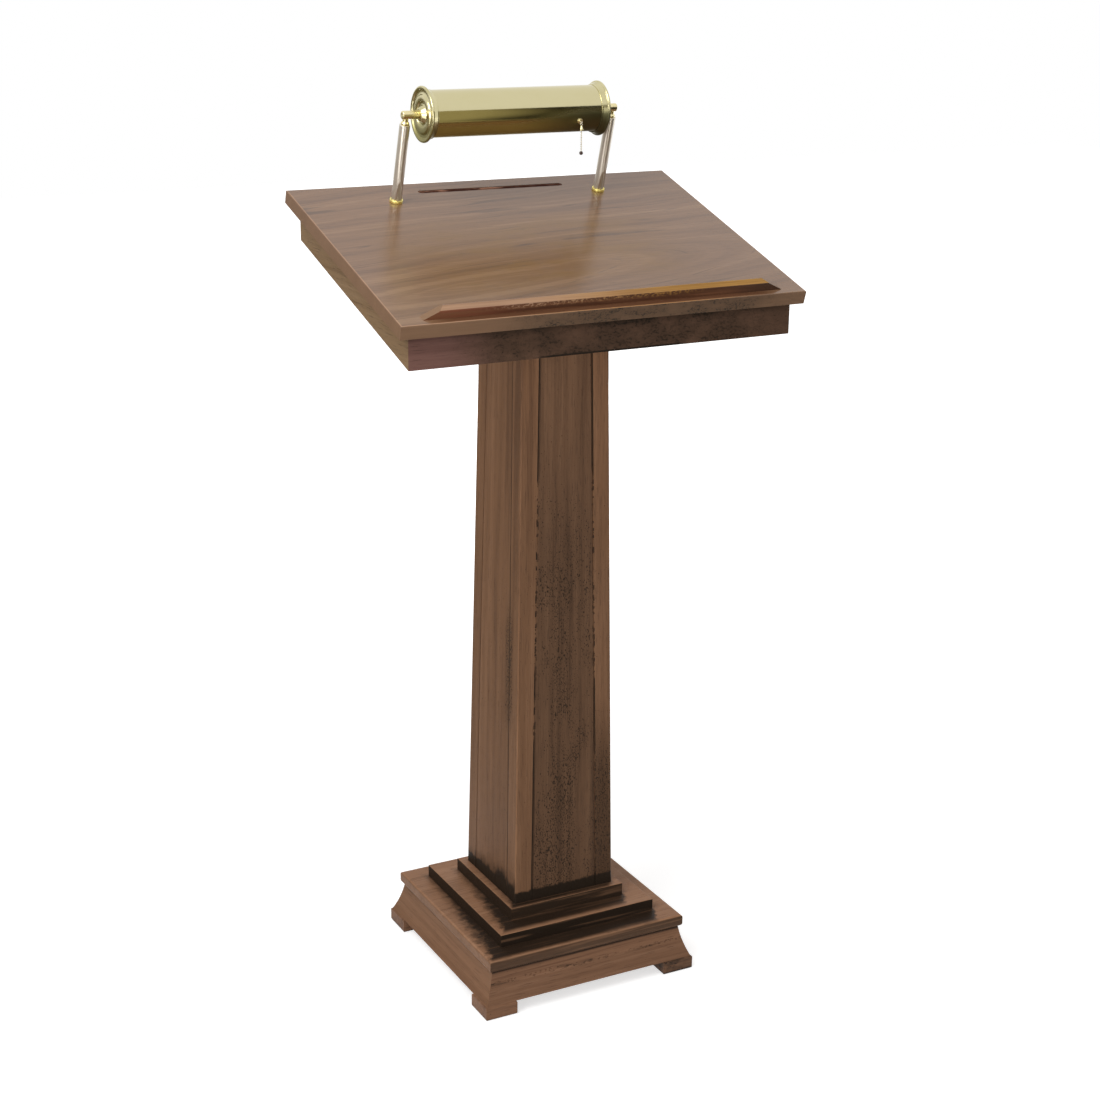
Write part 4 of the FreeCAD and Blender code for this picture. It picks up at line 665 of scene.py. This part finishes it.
def eased(outline, radius, steps=5):
    """An outline with its corners rounded: each corner gives way to a curve between the two points
    that lie radius away along its sides, or a third of the side where that is shorter."""
    points = np.array(outline, float)
    before = np.roll(points, 1, axis=0) - points
    after = np.roll(points, -1, axis=0) - points
    reach_before = np.minimum(radius, np.linalg.norm(before, axis=1) / 3)[:, None]
    reach_after = np.minimum(radius, np.linalg.norm(after, axis=1) / 3)[:, None]
    first = points + before / np.linalg.norm(before, axis=1)[:, None] * reach_before
    last = points + after / np.linalg.norm(after, axis=1)[:, None] * reach_after
    share = np.linspace(0.0, 1.0, steps)[None, :, None]
    towards = first[:, None] + share * (points - first)[:, None]
    away = points[:, None] + share * (last - points)[:, None]
    return (towards + share * (away - towards)).reshape(-1, 2)


def skinned(name, grid, material, ends=False):
    """A closed skin over a grid of points: rows run round the outline, columns along the path. With
    ends, the path is open and its two end faces are filled. Points that meet on an axis are merged."""
    rows, columns = grid.shape[:2]
    index = np.arange(rows * columns).reshape(rows, columns)
    beside = np.roll(index, -1, axis=1)
    quads = np.stack([index, beside, np.roll(beside, -1, axis=0), np.roll(index, -1, axis=0)], axis=-1)
    if ends:
        quads = quads[:, :-1]
    faces = quads.reshape(-1, 4).tolist()
    if ends:
        faces += [index[:, 0].tolist(), index[::-1, -1].tolist()]
    mesh = bpy.data.meshes.new(name)
    mesh.from_pydata(grid.reshape(-1, 3).tolist(), [], faces)
    shape = bmesh.new()
    shape.from_mesh(mesh)
    bmesh.ops.remove_doubles(shape, verts=shape.verts, dist=1e-7)
    bmesh.ops.dissolve_degenerate(shape, edges=shape.edges, dist=1e-8)
    bmesh.ops.recalc_face_normals(shape, faces=shape.faces)
    shape.to_mesh(mesh)
    shape.free()
    mesh.shade_smooth()
    mesh.set_sharp_from_angle(angle=math.radians(38))
    mesh.materials.append(material)
    return add_piece(name, mesh)


def turned(name, outline, origin, axis, material, sides=96, start=0.0, sweep=360.0):
    """An outline of (along, radius) points carried round an axis: a point at angle t lies at
    origin + along * axis + radius * (cos t * first + sin t * second)."""
    axis = np.array(axis, float)
    first = np.cross(axis, [1.0, 0.0, 0.0])
    if np.linalg.norm(first) < 0.5:
        first = np.array([0.0, 1.0, 0.0])
    first = first / np.linalg.norm(first)
    second = np.cross(axis, first)
    whole = sweep > 359.0
    angles = np.radians(start + sweep * np.arange(sides) / (sides if whole else sides - 1))
    outline = np.array(outline, float)
    rings = np.cos(angles)[None, :, None] * first + np.sin(angles)[None, :, None] * second
    grid = np.array(origin, float) + outline[:, 0, None, None] * axis + outline[:, 1, None, None] * rings
    return skinned(name, grid, material, ends=not whole)


def at_holder_end(place):
    """0 over the shade's left half, rising to 1 at the lamp holder's end."""
    return spread(parts_of(place)[0], -0.02, 0.11)


def brass_finish(name, bright, dull, rough, wear=0.5, painted_reflection_mask=None, olive=None, axis=0):
    """Lacquered brass: a few dull clouds, and fine rings of brushing round the axis it was turned on.
    Where the given mask is 1, the colour is a painted reflection of dark surroundings, olive from its
    first shade at the left to its second at the holder's end, and the lacquer is rougher there."""
    material, shader, place = new_finish(name)
    clouds = drawn_out(place, 0, (3.0, 1.0, 2.0), 38.0, 22.0, 4.0)
    brushing = drawn_out(place, axis, (1.0, 7.0, 2.0), 60.0, 1500.0, 2.0)
    worn = wear * spread(clouds, 0.4, 0.7)
    colour = mixed(worn, opaque(*bright), opaque(*dull))
    gloss = rough + 0.08 * worn + 0.04 * (brushing - 0.5)
    if painted_reflection_mask:
        reflection_darkening = painted_reflection_mask(place)
        colour = mixed(reflection_darkening, colour, mixed(at_holder_end(place), opaque(*olive[0]), opaque(*olive[1])))
        gloss = gloss + 0.28 * reflection_darkening
    lay_on(shader, "Base Color", colour)
    lay_on(shader, "Roughness", gloss)
    lay_on(shader, "Normal", raised(brushing, 0.0000015))
    shader.inputs["Metallic"].default_value = 1.0
    return material


post_plate, shader, place = new_finish("post_plate")
tarnish = drawn_out(place, 2, (3.0, 1.0, 2.0), 60.0, 12.0)
lay_on(shader, "Base Color", mixed(tarnish, opaque(0.8, 0.75, 0.66), opaque(0.64, 0.58, 0.49)))
lay_on(shader, "Roughness", 0.37 + 0.06 * tarnish)
shader.inputs["Metallic"].default_value = 0.95
shader.inputs["Anisotropic"].default_value = 0.95
shader.inputs["Anisotropic Rotation"].default_value = 0.25
ring_gold = brass_finish("ring_gold", (1.0, 0.88, 0.32), (0.98, 0.8, 0.22), 0.4, axis=2)
post_length = 0.115
post_radius = 0.0075
post_bore = 0.005
plug_top = 0.015
nipple_bore = 0.0041
post_outline = eased([(0.0, nipple_bore), (0.0, post_radius), (post_length, post_radius),
                      (post_length, post_bore), (plug_top, post_bore), (plug_top, nipple_bore)], 0.0006)
ring_bore = 0.00755
ring_radius = 0.0093
ring_top = 0.0045
ring_outline = eased([(0.0, ring_bore), (0.0, ring_radius), (ring_top, ring_radius), (ring_top, ring_bore)],
                     0.0016, 7)
for side, way in (("left", -1), ("right", 1)):
    foot = lamp_middle + np.array([way * post_x, 0.0, 0.0]) - lamp_height * out_of_desk
    post = turned("post_tube_" + side, post_outline, foot, out_of_desk, post_plate, 64)
    ring = turned("post_ring_" + side, ring_outline, foot, out_of_desk, ring_gold, 72)
    for piece, node in ((post, "lamp_post_" + side), (ring, "post_flange_" + side)):
        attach(piece, "stand")
        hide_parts(node)

# The pivot heads: a turned collar and neck plugged into each post, with a bored barrel across the
# top that the shade's hollow axle turns in against a friction washer.
polished = brass_finish("polished_brass", (0.86, 0.76, 0.45), (0.7, 0.6, 0.31), 0.2)
axle_bore = 0.00405
barrel_radius = 0.00585
barrel_start = -0.018
barrel_end = 0.006
bore_end = 0.002
barrel_outline = eased([(barrel_start, axle_bore), (barrel_start, barrel_radius), (barrel_end, barrel_radius),
                        (barrel_end, 0.0), (bore_end, 0.0), (bore_end, axle_bore)], 0.0014, 6)
tenon_radius = 0.00495
stem_collar = 0.0059
stem_neck = 0.004
neck_outline = eased([(-0.024, 0.0), (-0.024, tenon_radius), (-0.014, tenon_radius), (-0.014, stem_collar),
                      (-0.011, stem_collar), (-0.0091, stem_neck), (-0.00415, stem_neck), (-0.00415, 0.0)],
                     0.0008)
for side, way in (("left", -1), ("right", 1)):
    top = lamp_middle + np.array([way * post_x, 0.0, 0.0])
    barrel = turned("pivot_barrel_" + side, barrel_outline, top, (way, 0.0, 0.0), polished, 64)
    stem = turned("pivot_neck_" + side, neck_outline, top, out_of_desk, polished, 64)
    for piece in (barrel, stem):
        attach(piece, "stand")
    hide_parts("pivot_head_" + side)
dress(polished, "pivot_washers")
dress(zinc, "pivot_nipples", "pivot_nuts")

# The shade: a tube of sheet brass 1 mm thick, open along its underside. It is bright over the top,
# and near the mouth a painted reflection of dark surroundings makes it olive, most at the lamp holder's end.
def lower_painted_reflection(place):
    """1 along the mouth, where the brass carries a painted reflection of dark surroundings, higher up at
    the holder's end, and 0 on top.
    """
    height = parts_of(place)[2] - lamp_middle[2]
    return 1.0 - spread(height - 0.014 * at_holder_end(place), -0.021, -0.005)


shade_reflection_olive = [(0.52, 0.475, 0.175), (0.14, 0.128, 0.062)]
shade_brass = brass_finish("shade_brass", (0.63, 0.57, 0.34), (0.6, 0.54, 0.3), 0.1, 0.35,
                           lower_painted_reflection, shade_reflection_olive)
shade_radius = 0.033
shade_end = 0.1273
mouth = 76.0
sheet_thickness = 0.001
inside = shade_radius - sheet_thickness
sheet_outline = [(-shade_end, inside), (-shade_end, shade_radius),
                 (shade_end, shade_radius), (shade_end, inside)]
mouth_edge = math.degrees(slope) - 90.0 + mouth / 2
shade = turned("shade_tube", sheet_outline, lamp_middle, (1.0, 0.0, 0.0), shade_brass, 161,
               mouth_edge, 360.0 - mouth)
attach(shade, "shade")
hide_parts("shade_shell")

# The caps: turned brass ends, each with a spigot inside the tube, a hollow flaring out to the rim,
# a dished face with a raised ring, and a hub that bears on the friction washer.
# The caps carry the same painted reflection near the mouth, in a darker olive.
cap_reflection_olive = [(0.31, 0.28, 0.12), (0.125, 0.12, 0.06)]
cap_brass = brass_finish("cap_brass", (0.65, 0.59, 0.35), (0.5, 0.45, 0.22), 0.15, 0.7, lower_painted_reflection, cap_reflection_olive)
spigot_start = 0.1213
spigot_radius = 0.03195
collar_radius = 0.034
rim_back = 0.1353
rim_face = 0.1393
rim_radius = 0.0387
dish = 0.1368
hub_face = 0.1433
cap_inside = 0.1338
spigot_bore = 0.02895
flare = np.radians(np.linspace(0.0, 90.0, 9))[1:-1]
hollow = np.stack([rim_back - 0.006 * np.cos(flare), collar_radius + 0.0027 * (1 - np.cos(flare))], axis=1)
spigot = [(spigot_start, spigot_radius), (shade_end, spigot_radius), (shade_end, collar_radius),
          (0.1293, collar_radius)]
rim = [(rim_back, 0.0367), (rim_back, 0.0377), (0.1363, rim_radius), (0.1383, rim_radius),
       (rim_face, 0.0377), (rim_face, 0.035)]
raised_ring = [(dish, 0.0331), (dish, 0.0275), (rim_face, 0.0256), (rim_face, 0.0182), (dish, 0.0163),
               (dish, 0.0132)]
hub = [(0.1423, 0.0095), (hub_face, 0.0085), (hub_face, axle_bore), (cap_inside, axle_bore),
       (cap_inside, spigot_bore), (spigot_start, spigot_bore)]
cap_outline = eased(np.vstack([spigot, hollow, rim, raised_ring, hub]), 0.0009, 4)
for side, way in (("left", -1), ("right", 1)):
    cap = turned("end_cap_" + side, cap_outline, lamp_middle, (way, 0.0, 0.0), cap_brass, 128)
    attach(cap, "shade")
    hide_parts("shade_cap_" + side)

# The lamp holder: a moulded shell on the right axle, with a ribbed skirt round the bulb's screw
# base. The pull switch is inside it.
moulded, shader, place = new_finish("moulded_holder")
grainy = drawn_out(place, 0, (1.0, 2.0, 3.0), 900.0, 900.0)
lay_on(shader, "Base Color", mixed(grainy, opaque(0.02, 0.018, 0.016), opaque(0.045, 0.04, 0.035)))
lay_on(shader, "Roughness", 0.42 + 0.15 * grainy)
lay_on(shader, "Normal", raised(grainy, 0.00003))
holder_radius = 0.014
groove_radius = 0.0135
base_bore = 0.0085
neck_radius = 0.007
skirt = [(0.0708, base_bore), (0.0708, 0.0132), (0.0724, holder_radius)]
for rib in (0.0748, 0.0806):
    skirt += [(rib, holder_radius), (rib + 0.0006, groove_radius), (rib + 0.0028, groove_radius),
              (rib + 0.0034, holder_radius)]
shell = [(0.1198, holder_radius), (0.1233, 0.0125), (0.1248, 0.009), (0.1248, neck_radius),
         (0.1298, neck_radius), (0.1298, axle_bore), (0.1225, axle_bore), (0.1225, 0.0), (0.0888, 0.0),
         (0.0888, base_bore)]
holder_outline = eased(skirt + shell, 0.0006, 3)
holder = turned("holder_shell", holder_outline, lamp_middle, (1.0, 0.0, 0.0), moulded, 96)
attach(holder, "shade")
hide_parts("lamp_socket")

# The bulb: a tube of pearl glass with a rounded end, cemented into a screw base of thin sheet with a
# rolled thread. The frosting is a little uneven.
glass, shader, place = new_finish("bulb_glass")
frosting = drawn_out(place, 0, (2.0, 5.0, 1.0), 240.0, 120.0)
lay_on(shader, "Base Color", mixed(frosting, opaque(0.8, 0.79, 0.76), opaque(0.9, 0.89, 0.87)))
lay_on(shader, "Roughness", 0.34 + 0.16 * frosting)
shader.inputs["Transmission Weight"].default_value = 0.3
shader.inputs["IOR"].default_value = 1.45
dome = np.radians(np.linspace(0.0, 90.0, 17))
bulb_radius = 0.0103
glass_end = 0.0688
round_end = np.stack([-0.0609 - bulb_radius * np.sin(dome), bulb_radius * np.cos(dome)], axis=1)
shoulder = [(glass_end, 0.0), (glass_end, 0.0076), (0.0668, 0.0099), (0.066, bulb_radius)]
glass_outline = np.vstack([shoulder, round_end])
bulb = turned("bulb_glass", glass_outline, lamp_middle, (1.0, 0.0, 0.0), glass, 64)
base_metal = brass_finish("base_metal", (0.8, 0.76, 0.62), (0.62, 0.58, 0.46), 0.25)
thread_pitch = 0.0021
base_tip = 0.0885
turns = np.linspace(0.0, 5.0, 61)
thread = np.stack([0.0696 + thread_pitch * turns, 0.0077 + 0.0004 * np.cos(2 * np.pi * turns)], axis=1)
base_outline = np.vstack([[(glass_end, 0.0), (glass_end, 0.0078)], thread,
                          [(0.0806, 0.0075), (base_tip, 0.0041), (base_tip, 0.0)]])
base = turned("bulb_base", base_outline, lamp_middle, (1.0, 0.0, 0.0), base_metal, 64)
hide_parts("bulb")
for piece in (bulb, base):
    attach(piece, "shade")

# The pull chain: a flanged bush in the shade's front, the switch's rod with a ring on its end, and
# from it a ring, a bell and a string of brass beads with a dark ball.
chain_x = 0.0932
pull_angle = math.radians(65.0)
pull = np.array([0.0, -math.sin(pull_angle), -math.cos(pull_angle)])
chain_middle = lamp_middle + np.array([chain_x, 0.0, 0.0])
guide_bore = 0.00155
guide_radius = 0.003
flange_radius = 0.00425
guide_outline = eased([(0.0308, guide_bore), (0.0308, guide_radius), (shade_radius, guide_radius),
                       (shade_radius, flange_radius), (0.0342, flange_radius), (0.0342, guide_radius),
                       (0.0355, guide_radius), (0.0355, guide_bore)], 0.0004)
guide = turned("chain_bush", guide_outline, chain_middle, pull, polished, 48)
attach(guide, "shade")
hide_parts("chain_guide")
chain_brass = brass_finish("chain_brass", (0.8, 0.74, 0.6), (0.5, 0.45, 0.34), 0.2, axis=2)
wire_radius = 0.00045
link_radius = 0.0017


def wire_ring(name, middle, axis, material):
    """A closed ring of wire: a small circle carried round a larger one."""
    t = np.radians(np.arange(0, 360, 30))
    outline = np.stack([wire_radius * np.sin(t), link_radius + wire_radius * np.cos(t)], axis=1)
    return turned(name, outline, middle, axis, material, 32)


rod_radius = 0.0015
rod_end = 0.037
rod_outline = eased([(0.004, 0.0), (0.004, rod_radius), (rod_end, rod_radius), (rod_end, 0.0)], 0.0004)
rod = turned("switch_rod", rod_outline, chain_middle, pull, chain_brass, 32)
rod_ring_middle = chain_middle + (rod_end + link_radius) * pull
eye_ring = wire_ring("rod_ring", rod_ring_middle, (1.0, 0.0, 0.0), chain_brass)
for piece in (rod, eye_ring):
    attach(piece, "switch_lead")
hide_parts("pull_lead")
down = np.array([0.0, 0.0, -1.0])
hang_drop = 0.00075
hang = rod_ring_middle + hang_drop * down
drop_ring = wire_ring("chain_ring", hang + link_radius * down, (0.0, 1.0, 0.0), chain_brass)
bell_top = 0.00295
bell_foot = bell_top + 0.007
bell_curve = [(0.0, 0.0), (0.0, 0.00055), (0.0012, 0.0013), (0.0035, 0.0023), (0.006, 0.0028),
              (0.0068, 0.0029), (0.007, 0.0027), (0.007, 0.0)]
bell_outline = [(bell_top + along, radius) for along, radius in bell_curve]
bell = turned("chain_bell", bell_outline, hang, down, polished, 32)
bead_pitch = 0.0032
bead_radius = 0.0011
cord_radius = 0.00055
string_length = 0.0315
run = np.linspace(0.0, string_length, 253)
from_bead = (run + bead_pitch / 2) % bead_pitch - bead_pitch / 2
swell = np.sqrt(np.maximum(bead_radius ** 2 - from_bead ** 2, 0.0))
swell = np.where(run < 9 * bead_pitch, swell, 0.0)
string = np.stack([bell_foot + run, np.maximum(swell, cord_radius)], axis=1)
string = np.vstack([[string[0, 0], 0.0], string, [string[-1, 0], 0.0]])
beads = turned("chain_beads", string, hang, down, chain_brass, 16)
dark, shader, place = new_finish("dark_ball")
mottle = drawn_out(place, 2, (1.0, 2.0, 5.0), 700.0, 300.0)
lay_on(shader, "Base Color", mixed(mottle, opaque(0.02, 0.009, 0.006), opaque(0.07, 0.03, 0.018)))
lay_on(shader, "Roughness", 0.25 + 0.15 * mottle)
bow = np.radians(np.linspace(0.0, 180.0, 25))
ball_radius = 0.0027
ball_middle = bell_foot + 0.03155
ball_outline = np.stack([ball_middle - ball_radius * np.cos(bow), ball_radius * np.sin(bow)], axis=1)
ball = turned("end_ball", ball_outline, hang, down, dark, 40)
for piece in (drop_ring, bell, beads, ball):
    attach(piece, "pull_chain")
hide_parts("pull_chain")
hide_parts("chain_ball")
